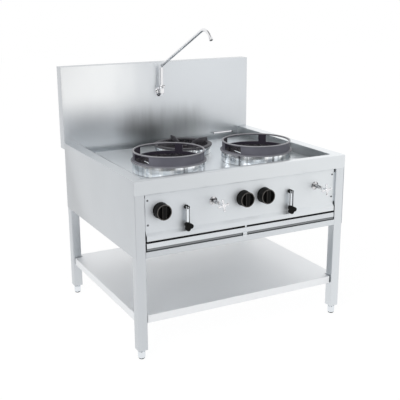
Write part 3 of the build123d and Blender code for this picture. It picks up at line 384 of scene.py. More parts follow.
# ---- Undershelf ----
# A shelf of 1.5 mm sheet with folded edges, notched round the legs and held on them by small tabs.
# Two hat-shaped stiffeners are spot-welded under it.
shelf_sheet = stainless("shelf_sheet", "stainless_sheet", 0.88, 0.58, (0.2, 12, 12))
shelf_sheet.surface(Base_Color=shelf_sheet.mixed(0.6, shelf_sheet.colour, (0.88, 0.88, 0.88)))
sheet = 1.5


def facing(mesh, direction):
    """Makes the faces of an open sheet agree, with its outermost face looking in one direction."""
    bmesh.ops.remove_doubles(mesh, verts=mesh.verts, dist=0.00001)
    bmesh.ops.recalc_face_normals(mesh, faces=mesh.faces)
    way = Vector(direction)
    outermost = max(
        mesh.faces, key=lambda face: (round(face.calc_center_median().dot(way), 5), face.calc_area())
    )
    if outermost.normal.dot(way) < 0:
        bmesh.ops.reverse_faces(mesh, faces=mesh.faces)


def thickened(mesh, direction, thickness=sheet):
    """Gives an open sheet its thickness, behind its outer face."""
    facing(mesh, direction)
    bmesh.ops.solidify(mesh, geom=mesh.faces[:], thickness=thickness * mm)


def pushed(mesh, edges, step):
    """Draws edges out by one step and returns the new ones."""
    made = bmesh.ops.extrude_edge_only(mesh, edges=edges)["geom"]
    verts = [item for item in made if isinstance(item, bmesh.types.BMVert)]
    bmesh.ops.translate(mesh, verts=verts, vec=step)
    drawn = [item for item in made if isinstance(item, bmesh.types.BMEdge)]
    return [edge for edge in drawn if all(vert in verts for vert in edge.verts)]


def outline(mesh, points, closed=True):
    """Joins a few points in order."""
    corners = [mesh.verts.new(point) for point in points]
    pairs = list(zip(corners, corners[1:])) + ([(corners[-1], corners[0])] if closed else [])
    return [mesh.edges.new(pair) for pair in pairs]


shelf_low, shelf_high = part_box("undershelf")
leg_low, leg_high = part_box("leg_front_right")
rear_leg_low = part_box("leg_rear_right")[0]
notch_gap = 6 * mm
notch_x = leg_low.x - notch_gap
notch_front = leg_high.y + notch_gap
notch_rear = rear_leg_low.y - notch_gap
shelf_half = 589 * mm
tab_end_gap, tab_lap, tab_lift = 2 * mm, 1 * mm, 0.1 * mm
right_side = [
    (notch_x, shelf_low.y), (notch_x, notch_front), (shelf_half, notch_front),
    (shelf_half, notch_rear), (notch_x, notch_rear), (notch_x, shelf_high.y),
]
left_side = [(-x, y) for x, y in reversed(right_side)]
mesh = bmesh.new()
edges = outline(mesh, [(x, y, shelf_high.z) for x, y in right_side + left_side])
bmesh.ops.contextual_create(mesh, geom=edges)
pushed(mesh, edges, (0, 0, shelf_low.z - shelf_high.z))
bevelled(mesh, folds(mesh), 2.0)
thickened(mesh, (0, 0, 1))
for side in (-1, 1):
    for y_near, y_far in (
        (shelf_low.y + tab_end_gap, leg_high.y), (rear_leg_low.y, shelf_high.y - tab_end_gap),
    ):
        tab_x = sorted((side * (notch_x - tab_lap), side * leg_low.x))
        low = Vector((tab_x[0], y_near, shelf_low.z + tab_lift))
        bar(mesh, low, Vector((tab_x[1], y_far, low.z + sheet * mm)), edge=0.3)
finished(mesh, "shelf", "range_frame", shelf_sheet, "undershelf")


def coated(finish, *nodes):
    """Gives CAD nodes that stay as they are their finish."""
    for node in nodes:
        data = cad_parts[node].data
        if not data.materials:
            data.materials.append(finish.material)
        for index in range(len(data.materials)):
            data.materials[index] = finish.material


coated(shelf_sheet, "shelf_stiffeners")

# ---- Side and rear panels ----
# Flat sheets that close the cabinet between the legs. The rear one has three rows of punched slots for
# air and holes for the pipes, and all are screwed from inside, so nothing shows.
side_sheet = stainless("side_sheet", "stainless_sheet", 0.60, 0.33, (12, 0.2, 12))
for side in left_right:
    plain(f"side_sheet_{side}", side_sheet, f"side_panel_{side}", edge=0.4)
coated(side_sheet, "rear_panel")
coated(satin_tube, "panel_angles", "tray_runners")

# ---- Worktop ----
# The top is folded and welded from 1.5 mm sheet: a flat rim with a folded apron in front, a sunk well
# that holds rinse water round the burners, and a deeper gutter with a drain along the back.
worktop_sheet = stainless("worktop_sheet", "stainless_sheet", 0.82, 0.32, (0.2, 12, 12), relief=0.01)
rim_low, rim_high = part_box("worktop_rim")
rightward, inward, up = [worktop_sheet.place(axis) for axis in range(3)]
below_rim = worktop_sheet.rising(up, rim_high.z - 1 * mm, rim_high.z - 4 * mm)
behind_apron = worktop_sheet.rising(inward, rim_low.y + 5 * mm, rim_low.y + 10 * mm)
along_rim = worktop_sheet.rising(rightward, -0.6, 0.6)
shaded_right_end = worktop_sheet.rising(rightward, 0.40, 0.55)
# Painted light: the rim and apron get a darker tone that lightens from left to right, and the well is painted
# darker towards its right end as painted shade.
edge_tone = worktop_sheet.mixed(along_rim, (0.64, 0.667, 0.69), (0.76, 0.79, 0.81))
well_tone = worktop_sheet.mixed(shaded_right_end, (0.90, 0.93, 0.95), (0.50, 0.52, 0.53))
worktop_sheet.surface(Base_Color=worktop_sheet.mixed(below_rim * behind_apron, edge_tone, well_tone))
wall_low, wall_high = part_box("well_walls")
gutter_low, gutter_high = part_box("gutter_walls")
well_x = wall_high.x - sheet * mm
well_front = wall_low.y + sheet * mm
well_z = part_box("well_floor")[1].z
gutter_front = gutter_low.y + sheet * mm
gutter_z = gutter_low.z
back = rim_high.y
well_corner = 10 * mm
apron_lip = 13.5 * mm
corner_steps = 6
collar_boxes = {name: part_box(f"burner_collar_{name}") for name in ("left", "right", "rear")}
burners = {
    name: Vector(((low.x + high.x) / 2, (low.y + high.y) / 2, low.z))
    for name, (low, high) in collar_boxes.items()
}
bowl_flange = 4 * mm
hole_radius = {name: (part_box(f"fire_bowl_{name}")[1].x - burners[name].x) - bowl_flange for name in burners}
strainer_low, strainer_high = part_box("gutter_strainer")
drain_radius = 24 * mm
drain = ((strainer_low.x + strainer_high.x) / 2, (strainer_low.y + strainer_high.y) / 2, drain_radius)


def filled(mesh, edges, holes, z):
    """Fills a flat outline, leaving round (x, y, radius) holes open."""
    for x, y, radius in holes:
        place = Matrix.Translation((x, y, z))
        ring = bmesh.ops.create_circle(mesh, segments=64, radius=radius, matrix=place)["verts"]
        edges = edges + linked(ring)
    bmesh.ops.triangle_fill(mesh, edges=edges, use_beauty=True, normal=(0, 0, 1))


def well_edge(rear):
    """The well's edge seen from above: right rear corner, rear edge, then round the front corners."""
    turns = [index / corner_steps * math.pi / 2 for index in range(corner_steps + 1)]
    reach = well_x - well_corner
    inside = well_front + well_corner
    left = [(-reach - well_corner * math.cos(a), inside - well_corner * math.sin(a)) for a in turns]
    right = [(reach + well_corner * math.sin(a), inside - well_corner * math.cos(a)) for a in turns]
    return [(-well_x, rear)] + left + right + [(well_x, rear)]


mesh = bmesh.new()
edges = outline(mesh, [(x, y, well_z) for x, y in well_edge(gutter_front)])
filled(mesh, edges, [(at.x, at.y, hole_radius[name]) for name, at in burners.items()], well_z)
pushed(mesh, edges[:-1], (0, 0, rim_high.z - well_z))
outer = [(rim_high.x, back), (rim_high.x, rim_low.y), (rim_low.x, rim_low.y), (rim_low.x, back)]
rim = outline(mesh, [(x, y, rim_high.z) for x, y in well_edge(back) + outer])
filled(mesh, rim, [], rim_high.z)
front_edge = [edge for edge in rim if all(abs(vert.co.y - rim_low.y) < mm for vert in edge.verts)]
apron_foot = pushed(mesh, front_edge, (0, 0, rim_low.z - rim_high.z))
pushed(mesh, apron_foot, (0, apron_lip, 0))
gutter_edge = outline(mesh, [(-well_x, gutter_front, well_z), (well_x, gutter_front, well_z)], closed=False)
pushed(mesh, gutter_edge, (0, 0, gutter_z - well_z))
gutter_plan = [(-well_x, gutter_front), (well_x, gutter_front), (well_x, back), (-well_x, back)]
gutter_floor = outline(mesh, [(x, y, gutter_z) for x, y in gutter_plan])
filled(mesh, gutter_floor, [drain], gutter_z)
for x in (-well_x, well_x):
    for foot, head in ((gutter_z, well_z), (well_z, rim_high.z)):
        upright = outline(mesh, [(x, gutter_front, foot), (x, gutter_front, head)], closed=False)
        pushed(mesh, upright, (0, back - gutter_front, 0))
facing(mesh, (0, 0, 1))
bevelled(mesh, folds(mesh), 2.2)
thickened(mesh, (0, 0, 1))
worktop_nodes = ("worktop_rim", "well_walls", "well_floor", "gutter_floor", "gutter_walls")
finished(mesh, "worktop", "range_frame", worktop_sheet, *worktop_nodes)
strainer_steel = stainless("strainer_steel", "bright_steel", 0.74, 0.25, (12, 12, 0.2))
coated(strainer_steel, "gutter_strainer", "waste_pipe")

# ---- Splashback ----
# One sheet folded back along its top and sides into a shallow box that hides the water pipes, with a
# flat cover behind. Its colour is painted lighter in a band high on the left, a painted highlight, and
# is darker towards the foot, most of all in a patch behind the rear burner.
splash_low, splash_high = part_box("splash_back")
splash_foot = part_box("splash_rear_cover")[0].z
tongue_x = gutter_high.x
return_width = 15 * mm
front_depth = 3 * mm     # the front face and its rounded edges
splash_sheet = stainless("splash_sheet", "stainless_sheet", 0.68, 0.33, (12, 12, 0.2), cloud=0.03)
across, height = splash_sheet.place(0), splash_sheet.place(2)
waver = splash_sheet.noise(5.0, 2.0, (1.0, 1.0, 0.35))
streaks = splash_sheet.noise(14.0, 3.0, (2.0, 2.0, 0.2))
# Painted highlight: a soft bright band high on the left.
bright_side = splash_sheet.rising(across + waver * 0.25, 0.16, -0.26)
bright_band = bright_side * splash_sheet.rising(height + waver * 0.10, 1.03, 1.22)
low_down = splash_sheet.rising(height + waver * 0.14 + streaks * 0.06, 1.20, 1.00)
patch_at = 0.03          # middle of the darker patch, to the right of the range's own
off_middle = across - patch_at
burner_side = splash_sheet.rising(off_middle * off_middle + streaks * 0.02, 0.13, 0.0)
painted_highlight = splash_sheet.mixed(bright_band, splash_sheet.colour, (0.95, 0.965, 0.97))
# Darker towards the foot, and darker still in a patch behind the rear burner.
darker_low = splash_sheet.mixed(low_down * 0.10, painted_highlight, (0.30, 0.31, 0.315))
with_dark_patch = splash_sheet.mixed(low_down * burner_side * 0.75, darker_low, (0.13, 0.135, 0.135))
splash_sheet.surface(Base_Color=with_dark_patch)

mesh = bmesh.new()
face = outline(mesh, [
    (splash_low.x, splash_low.y, splash_foot), (-tongue_x, splash_low.y, splash_foot),
    (-tongue_x, splash_low.y, splash_low.z), (tongue_x, splash_low.y, splash_low.z),
    (tongue_x, splash_low.y, splash_foot), (splash_high.x, splash_low.y, splash_foot),
    (splash_high.x, splash_low.y, splash_high.z), (splash_low.x, splash_low.y, splash_high.z),
])
bmesh.ops.contextual_create(mesh, geom=face)
rear_edges = pushed(mesh, face[5:], (0, splash_high.y - splash_low.y, 0))
return_edges = pushed(mesh, rear_edges, (0, 0, 0))
for vert in {vert for edge in return_edges for vert in edge.verts}:
    vert.co.x -= math.copysign(return_width, vert.co.x)
    vert.co.z -= return_width if vert.co.z > splash_foot + return_width else 0
bmesh.ops.recalc_face_normals(mesh, faces=mesh.faces)
bevelled(mesh, folds(mesh), 2.0)
thickened(mesh, (0, -1, 0))
trimmed(mesh, lambda face, at: at.y > splash_low.y + front_depth)
finished(mesh, "splash_box", "range_frame", splash_sheet, "splash_back", trim=side_sheet)
coated(side_sheet, "splash_rear_cover")

# ---- Control panel ----
# A folded front of brushed sheet, set back from the legs and kicked forward at its foot so that drips
# run into the tray. Four small round-headed screws hold it to angles behind.
panel_sheet = stainless("panel_sheet", "stainless_sheet", 0.73, 0.52, (0.2, 12, 12), relief=0.01)
panel_low, panel_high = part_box("control_panel")
# Painted light: the panel's colour grows lighter from left to right, as if more light fell from the right.
rightward = panel_sheet.rising(panel_sheet.place(0), -0.5, 0.55)
panel_sheet.surface(Base_Color=panel_sheet.mixed(rightward, panel_sheet.colour, (0.80, 0.83, 0.85)))
panel_recess = 12 * mm
panel_face = panel_low.y + panel_recess
panel_top_return = 16.5 * mm
panel_foot_return = 25 * mm
bend_top, bend_foot, lip_foot = 641 * mm, 626 * mm, 602 * mm
mesh = bmesh.new()
end_gap = 4 * mm         # light gap beside each leg
panel_low.x += end_gap
panel_high.x -= end_gap
profile = outline(mesh, [
    (panel_low.x, panel_face + panel_top_return, panel_high.z), (panel_low.x, panel_face, panel_high.z),
    (panel_low.x, panel_face, bend_top), (panel_low.x, panel_low.y, bend_foot),
    (panel_low.x, panel_low.y, lip_foot), (panel_low.x, panel_low.y + panel_foot_return, lip_foot),
], closed=False)
pushed(mesh, profile, (panel_high.x - panel_low.x, 0, 0))
bevelled(mesh, folds(mesh), 2.0)
thickened(mesh, (0, -1, 0))
tongue_left, tongue_right = -6.5 * mm, 2.5 * mm
tongue_low = Vector((tongue_left, panel_low.y, panel_low.z))
bar(mesh, tongue_low, Vector((tongue_right, panel_low.y + sheet * mm, lip_foot)), edge=0.3)
finished(mesh, "front_panel", "range_frame", panel_sheet, "control_panel")

screw_steel = stainless("screw_steel", "bright_steel", 0.16, 0.3, (1, 1, 1))
screw_low, screw_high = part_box("panel_screws")
screw_radius = 5.0
screw_profile = ((0, 0.9), (1.5, 0.9), (1.9, 2.5), (3.2, 2.4), (4.4, 1.7), (5.0, 0.6), (5.0, 0), (0, 0))
mesh = bmesh.new()
for x in (screw_low.x + screw_radius * mm, screw_high.x - screw_radius * mm):
    for z in (screw_low.z + screw_radius * mm, screw_high.z - screw_radius * mm):
        turned(mesh, screw_profile, (x, panel_face, z), forward=True, steps=20)
finished(mesh, "screw_heads", "range_frame", screw_steel, "panel_screws")

# ---- Burner collars ----
# Rings of rolled bright sheet welded to the well's floor, with an inward ledge that the castings rest
# on. They keep rinse water out of the fire bowls, and a slot at the front of each lets spills drain.
bright_sheet = stainless("bright_sheet", "stainless_sheet", 0.80, 0.18, (4, 4, 0.1), cloud=0.08, relief=0.005)
# Painted reflections: thin upright streaks, dark and light, stand for what the bright ring mirrors.
streak_noise = bright_sheet.noise(45.0, 2.0, (1.0, 1.0, 0.02))
dark_streaks = bright_sheet.rising(streak_noise, 0.56, 0.66)
light_streaks = bright_sheet.rising(streak_noise, 0.46, 0.36)
dark_reflections = bright_sheet.mixed(dark_streaks, bright_sheet.colour, (0.30, 0.31, 0.32))
painted_reflections = bright_sheet.mixed(light_streaks, dark_reflections, (0.97, 0.98, 0.98))
# A dark line painted at the foot is painted shade where the collar meets the floor.
foot_shade = bright_sheet.rising(bright_sheet.place(2), well_z + 3 * mm, well_z + 1 * mm) * 0.8
bright_sheet.surface(Base_Color=bright_sheet.mixed(foot_shade, painted_reflections, (0.12, 0.12, 0.12)))
slot_half, slot_top = 7 * mm, 6 * mm
collar_wall, ledge_width = 2, 8


def scored(mesh, where, normal, near=0.00001):
    """Cuts new edges into a mesh where a plane passes through it."""
    geometry = mesh.verts[:] + mesh.edges[:] + mesh.faces[:]
    bmesh.ops.bisect_plane(mesh, geom=geometry, plane_co=where, plane_no=normal, dist=near)


def open_edges(mesh):
    """The edges round the holes of a mesh."""
    return [edge for edge in mesh.edges if len(edge.link_faces) == 1]


for name, (low, high) in collar_boxes.items():
    radius = (high.x - low.x) / 2 / mm
    rise = (high.z - low.z) / mm
    mesh = bmesh.new()
    inside, bore = radius - collar_wall, radius - ledge_width
    turned(mesh, (
        (radius, 0), (radius, rise - 1.2), (radius - 0.4, rise - 0.4), (radius - 1.2, rise), (bore, rise),
        (bore, rise - collar_wall), (inside, rise - collar_wall), (inside, 0), (radius, 0),
    ), steps=128)
    bmesh.ops.remove_doubles(mesh, verts=mesh.verts, dist=0.00001)
    for side in (-1, 1):
        scored(mesh, (side * slot_half, 0, 0), (1, 0, 0))
    scored(mesh, (0, 0, slot_top), (0, 0, 1))
    centres = [(face, face.calc_center_median()) for face in mesh.faces]
    slot = [face for face, at in centres if abs(at.x) < slot_half and at.z < slot_top and at.y < 0]
    bmesh.ops.delete(mesh, geom=slot, context="FACES")
    radii = {vert: vert.co.xy.length for vert in mesh.verts}
    around = [edge for edge in open_edges(mesh) if abs(radii[edge.verts[0]] - radii[edge.verts[1]]) < mm]
    bmesh.ops.bridge_loops(mesh, edges=around)
    bmesh.ops.translate(mesh, verts=mesh.verts, vec=burners[name])
    finished(mesh, f"collar_{name}", "range_frame", bright_sheet, f"burner_collar_{name}")

# ---- Fire bowls and burner heads ----
# Bowls of heat-scaled iron hang in the well's holes, each with a cast burner head and its mixing tube
# on spokes in the throat. Small pilot tubes end beside the two front burners.
scaled_iron_and_bore_shade = mottled(
    "scaled_iron_and_bore_shade", "cast_iron", (26.0, 6.0), (0.030, 0.026, 0.034), (0.085, 0.070, 0.078), (0.3, 0.45),
    (2.2, 0.6), Metallic=0.4,
)
scaled_iron_and_bore_shade.relief(scaled_iron_and_bore_shade.spots, 0.5, 0.0012)
coated(scaled_iron_and_bore_shade, *[f"fire_bowl_{name}" for name in burners], *[f"burner_{name}" for name in burners])
coated(strainer_steel, "pilot_tubes")

# ---- Wok rings ----
# Loose castings with a dark heat-proof enamel. Each has a broad foot flange on the collar's ledge and
# a wall with three windows, high at the front and open to the rear, that lead the hot gas away.
ring_rim = 56 * mm
wall_middle = (0.1770, 0.1786)       # where the finish changes, out from the ring's axis
flange_edge = (0.1895, 0.1935)
bead_foot = (0.0515, 0.0545)         # and above its seat


def enamelled(name, centre):
    """Dark enamel, darker on the inner wall and lighter on the bead and the foot flange."""
    finish = Finish(name, "cast_iron", Specular_IOR_Level=0.4)
    back_to_axis = {"Vector": finish.place(), "Location": [-part for part in centre]}
    centred = finish.node("ShaderNodeMapping", sockets=back_to_axis)
    flat = finish.node("ShaderNodeVectorMath", {"operation": "MULTIPLY"}, {0: centred, 1: (1, 1, 0)})
    radius = finish.node("ShaderNodeVectorMath", {"operation": "LENGTH"}, {0: flat}, output="Value")
    height = finish.node("ShaderNodeSeparateXYZ", sockets={0: centred}, output=2)
    pits, patches = finish.noise(140.0), finish.noise(9.0)
    glazed = finish.mixed(patches * 1.8 - 0.4, (0.105, 0.104, 0.128), (0.155, 0.154, 0.185))
    outside = finish.rising(radius + patches * 0.0006, *wall_middle)
    bead = finish.rising(height + patches * 0.002, *bead_foot)
    flange = finish.rising(radius + patches * 0.002, *flange_edge)
    darker_inside = finish.mixed(outside, (0.030, 0.024, 0.040), glazed)
    lighter_bead_and_flange = bead + flange * 0.6
    finish.surface(
        Base_Color=finish.mixed(lighter_bead_and_flange * (patches * 0.5 + 0.55), darker_inside, (0.34, 0.34, 0.36)),
        Roughness=patches * 0.15 + 0.42 - bead * 0.12,
    )
    finish.relief(pits, 0.3, 0.0005)
    return finish


ring_profile = (
    (176, -5), (179, -5), (179, 0.3), (192.4, 0.3), (193.6, 0.9), (194, 2.2), (194, 5.2), (193.4, 6.8),
    (191.8, 7.3), (186, 7.6), (184, 8.3), (183.2, 9.2), (183, 10.2), (183, 49), (183.8, 50.2), (185.4, 51),
    (186, 52.2), (186, 54.2), (185.4, 55.5), (184, 56), (177.4, 56), (176.4, 55.6), (176, 54.6), (176, 49),
    (176, 10.2), (176, -5),
)
window_foot, window_head, window_corner = 10.8 * mm, 48.4 * mm, 4.0
window_angles = ((-28.0, 40.0), (53.6, 121.7), (170.0, 212.3))
for name in left_right:
    node = f"wok_ring_{name}"
    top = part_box(node)[1].z
    mesh = bmesh.new()
    turned(mesh, ring_profile, steps=128)
    bmesh.ops.remove_doubles(mesh, verts=mesh.verts, dist=0.00001)
    for height in (window_foot, window_head):
        scored(mesh, (0, 0, height), (0, 0, 1))
    for angle in {angle for window in window_angles for angle in window}:
        turn = math.radians(angle)
        scored(mesh, (0, 0, 0), (-math.sin(turn), math.cos(turn), 0))
    for start, end in window_angles:
        hole = []
        for face in mesh.faces:
            at = face.calc_center_median()
            turn = (math.degrees(math.atan2(at.y, at.x)) - start) % 360
            if 0 < turn < end - start and window_foot < at.z < window_head:
                hole.append(face)
        bmesh.ops.delete(mesh, geom=hole, context="FACES")
        jambs = set(bmesh.ops.bridge_loops(mesh, edges=open_edges(mesh))["faces"])
        shared = [edge for edge in mesh.edges if len(edge.link_faces) == 2 and set(edge.link_faces) <= jambs]
        bevelled(mesh, [edge for edge in shared if edge.calc_face_angle() > 1], window_corner, 4)
    ring_at = (burners[name].x, burners[name].y, top - ring_rim)
    bmesh.ops.translate(mesh, verts=mesh.verts, vec=ring_at)
    finished(mesh, f"ring_casting_{name}", node, enamelled(f"ring_enamel_{name}", ring_at), node)

# ---- Pan ring ----
# The rear burner carries a lower casting: a rounded ring with four fins that hold a flat pan. The fins
# slope down towards the middle, and their tops are worn bright by pans.
pan_iron = mottled(
    "pan_ring_enamel", "cast_iron", (60.0, 4.0), (0.038, 0.036, 0.044), (0.105, 0.102, 0.112), (0.2, 0.32),
    (1.6, 0.3), Specular_IOR_Level=0.35,
)
pan_iron.relief(pan_iron.spots, 0.3, 0.0006)
pan_low, pan_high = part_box("pan_ring_rear")
pan_radius = (pan_high.x - pan_low.x) / 2 / mm
ring_bore, ring_rise, fin_rise = 138, 12, 20
ring_foot = pan_high.z / mm - fin_rise - ring_rise
middle_radius = (pan_radius + ring_bore) / 2
half_width = (pan_radius - ring_bore) / 2
section_steps = 16
squareness = 0.7         # 1 gives a round section, and less a squarer one
fin_thickness, fin_edge = 8, 1.2
section = []
for step in range(section_steps + 1):
    turn = step / section_steps * 2 * math.pi
    bulge = [math.copysign(abs(part) ** squareness, part) for part in (math.cos(turn), math.sin(turn))]
    section.append((middle_radius + half_width * bulge[0], ring_rise / 2 + ring_rise / 2 * bulge[1]))


def raised(mesh, step):
    """Draws all faces out by one step into a solid."""
    made = bmesh.ops.extrude_face_region(mesh, geom=mesh.faces[:])["geom"]
    bmesh.ops.translate(mesh, verts=[item for item in made if isinstance(item, bmesh.types.BMVert)], vec=step)
    bmesh.ops.recalc_face_normals(mesh, faces=mesh.faces)


def four_round(mesh, centre, axis):
    """Adds three copies of what a mesh holds, a quarter turn apart round an axis."""
    geometry = mesh.verts[:] + mesh.edges[:] + mesh.faces[:]
    bmesh.ops.spin(
        mesh, geom=geometry, cent=centre, axis=axis, angle=math.pi * 1.5, steps=3, use_duplicate=True
    )


def joined(mesh, other):
    """Moves all that one mesh holds into another."""
    carrier = bpy.data.meshes.new("carrier")
    other.to_mesh(carrier)
    other.free()
    mesh.from_mesh(carrier)


mesh = bmesh.new()
turned(mesh, section, steps=96)
fin_mesh = bmesh.new()
fin = outline(fin_mesh, [(radius * mm, -fin_thickness / 2 * mm, height * mm) for radius, height in (
    (157, 2), (157, 12), (153, 31.8), (108, 31.8), (58, 15), (58, 2),
)])
bmesh.ops.contextual_create(fin_mesh, geom=fin)
raised(fin_mesh, (0, fin_thickness * mm, 0))
bevelled(fin_mesh, fin_mesh.edges[:], fin_edge, 2)
four_round(fin_mesh, (0, 0, 0), (0, 0, 1))
joined(mesh, fin_mesh)
bmesh.ops.translate(mesh, verts=mesh.verts, vec=(burners["rear"].x, burners["rear"].y, ring_foot * mm))
finished(mesh, "pan_casting", "pan_ring_rear", pan_iron, "pan_ring_rear")

# ---- Gas and water parts inside ----
# Behind the panel a yellow-painted manifold feeds brass taps, and copper pipes lead on to the burners.
# The water taps are chromed brass, with copper pipe to the spout and to the rinse pipe.
yellow = mottled(
    "gas_yellow", "gas_steel", (18.0,), (0.70, 0.56, 0.09), (0.80, 0.67, 0.16), (0.2, 0.3), Coat_Weight=0.3
)
coated(yellow, "gas_manifold", "gas_inlet_pipe")
brass = mottled(
    "machined_brass", "brass", (120.0, 2.0, (1, 1, 0.2)), (0.66, 0.47, 0.18), (0.78, 0.60, 0.27), (0.2, 0.25),
    Metallic=1.0,
)
coated(brass, "gas_taps", "lever_valves")
copper = mottled(
    "dull_copper", "copper_pipe", (22.0, 5.0), (0.42, 0.22, 0.13), (0.76, 0.44, 0.30), (0.3, 0.25),
    (1.6, 0.3), Metallic=1.0,
)
coated(copper, "gas_pipes", "water_pipes")
chrome = mottled(
    "polished_chrome", "chrome", (14.0,), (0.80, 0.80, 0.82), (0.88, 0.88, 0.89), (0.08, 0.05), Metallic=1.0
)
bonnet = Finish("bonnet_chrome", "chrome", Metallic=1.0)
# Painted reflections: dark patches stand for the dark surroundings mirrored in the chrome.
reflection_spots = bonnet.noise(70.0, 2.0)
bonnet_mix = bonnet.mixed(bonnet.rising(reflection_spots, 0.36, 0.62), (0.16, 0.16, 0.17), (0.66, 0.66, 0.67))
bonnet.surface(Base_Color=bonnet_mix, Roughness=reflection_spots * 0.1 + 0.08)
coated(bonnet, "water_taps")

# ---- Knobs ----
# Three heat-proof plastic knobs on the gas taps' spindles, moulded with a grip bar between two deep
# half-moon pockets. Each turns in front of a fixed bezel pressed on to the panel.
knob_plastic = mottled(
    "knob_plastic", "black_plastic", (45.0, 4.0), (0.005, 0.005, 0.005), (0.010, 0.0098, 0.0095),
    (0.16, 0.42), (1.5, 0.25), Specular_IOR_Level=0.07,
)
knob_plastic.relief(knob_plastic.noise(500.0, 2.0), 0.15, 0.0002)
lighter_rim_and_highlights = mottled(
    "lighter_rim_and_highlight_plastic", "black_plastic", (60.0,), (0.040, 0.036, 0.032), (0.105, 0.096, 0.088), (0.2, 0.35),
    Specular_IOR_Level=0.4,
)
bezel_low, bezel_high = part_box("knob_bezels")
bezel_radius = (bezel_high.z - bezel_low.z) / 2 / mm
control_z = (bezel_high.z + bezel_low.z) / 2
knob_draft, pocket_wall = 0.3, 4.5
grip_half, pocket_depth, knob_foot, spindle_radius = 10, 17, 6, 4
knob_x = []
for name in ("left", "middle", "right"):
    node = f"knob_{name}"
    low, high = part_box(node)
    knob_x.append((low.x + high.x) / 2)
    radius = (high.x - low.x) / 2 / mm
    reach = (panel_face - low.y) / mm
    front_radius = radius - knob_draft
    pocket_radius = front_radius - pocket_wall
    mesh = bmesh.new()
    bmesh.ops.create_circle(mesh, cap_ends=True, segments=72, radius=pocket_radius * mm)
    for side in (-1, 1):
        scored(mesh, (side * grip_half * mm, 0, 0), (1, 0, 0), near=0)
    rim = open_edges(mesh)
    moons = [face for face in mesh.faces if abs(face.calc_center_median().x) > grip_half * mm]
    pocket_floor = bmesh.ops.extrude_discrete_faces(mesh, faces=moons)["faces"]
    floor_verts = {vert for face in pocket_floor for vert in face.verts}
    bmesh.ops.translate(mesh, verts=list(floor_verts), vec=(0, 0, -pocket_depth * mm))
    for ring_radius, level in (
        (front_radius - 1.6, 0), (front_radius - 0.5, -0.5), (front_radius, -1.8),
        (radius, knob_foot - reach), (spindle_radius, knob_foot - reach),
    ):
        rim = pushed(mesh, rim, (0, 0, 0))
        for vert in {vert for edge in rim for vert in edge.verts}:
            vert.co = (*(vert.co.xy.normalized() * ring_radius * mm), level * mm)
    bmesh.ops.recalc_face_normals(mesh, faces=mesh.faces)
    # The pockets' rounded mouths get the lighter plastic as a painted highlight, and so does the front rim.
    mouths = [edge for edge in folds(mesh, 60) if all(abs(vert.co.z) < 0.1 * mm for vert in edge.verts)]
    for face in bevelled(mesh, mouths, 0.9, 2)["faces"]:
        face.material_index = 1
    trimmed(mesh, lambda face, at: at.z > -2 * mm and at.xy.length > (pocket_radius + 0.5) * mm)
    placed(mesh, mesh.verts, (knob_x[-1], low.y, control_z))
    finished(mesh, f"knob_body_{name}", node, knob_plastic, node, trim=lighter_rim_and_highlights)

bezel_profile = (
    (7, 0), (bezel_radius, 0), (bezel_radius, 3), (bezel_radius - 0.6, 4.4), (bezel_radius - 2, 5), (7, 5),
    (7, 0),
)
mesh = bmesh.new()
for x in knob_x:
    turned(mesh, bezel_profile, (x, panel_face, control_z), forward=True, steps=72)
finished(mesh, "bezels", "range_frame", knob_plastic, "knob_bezels")

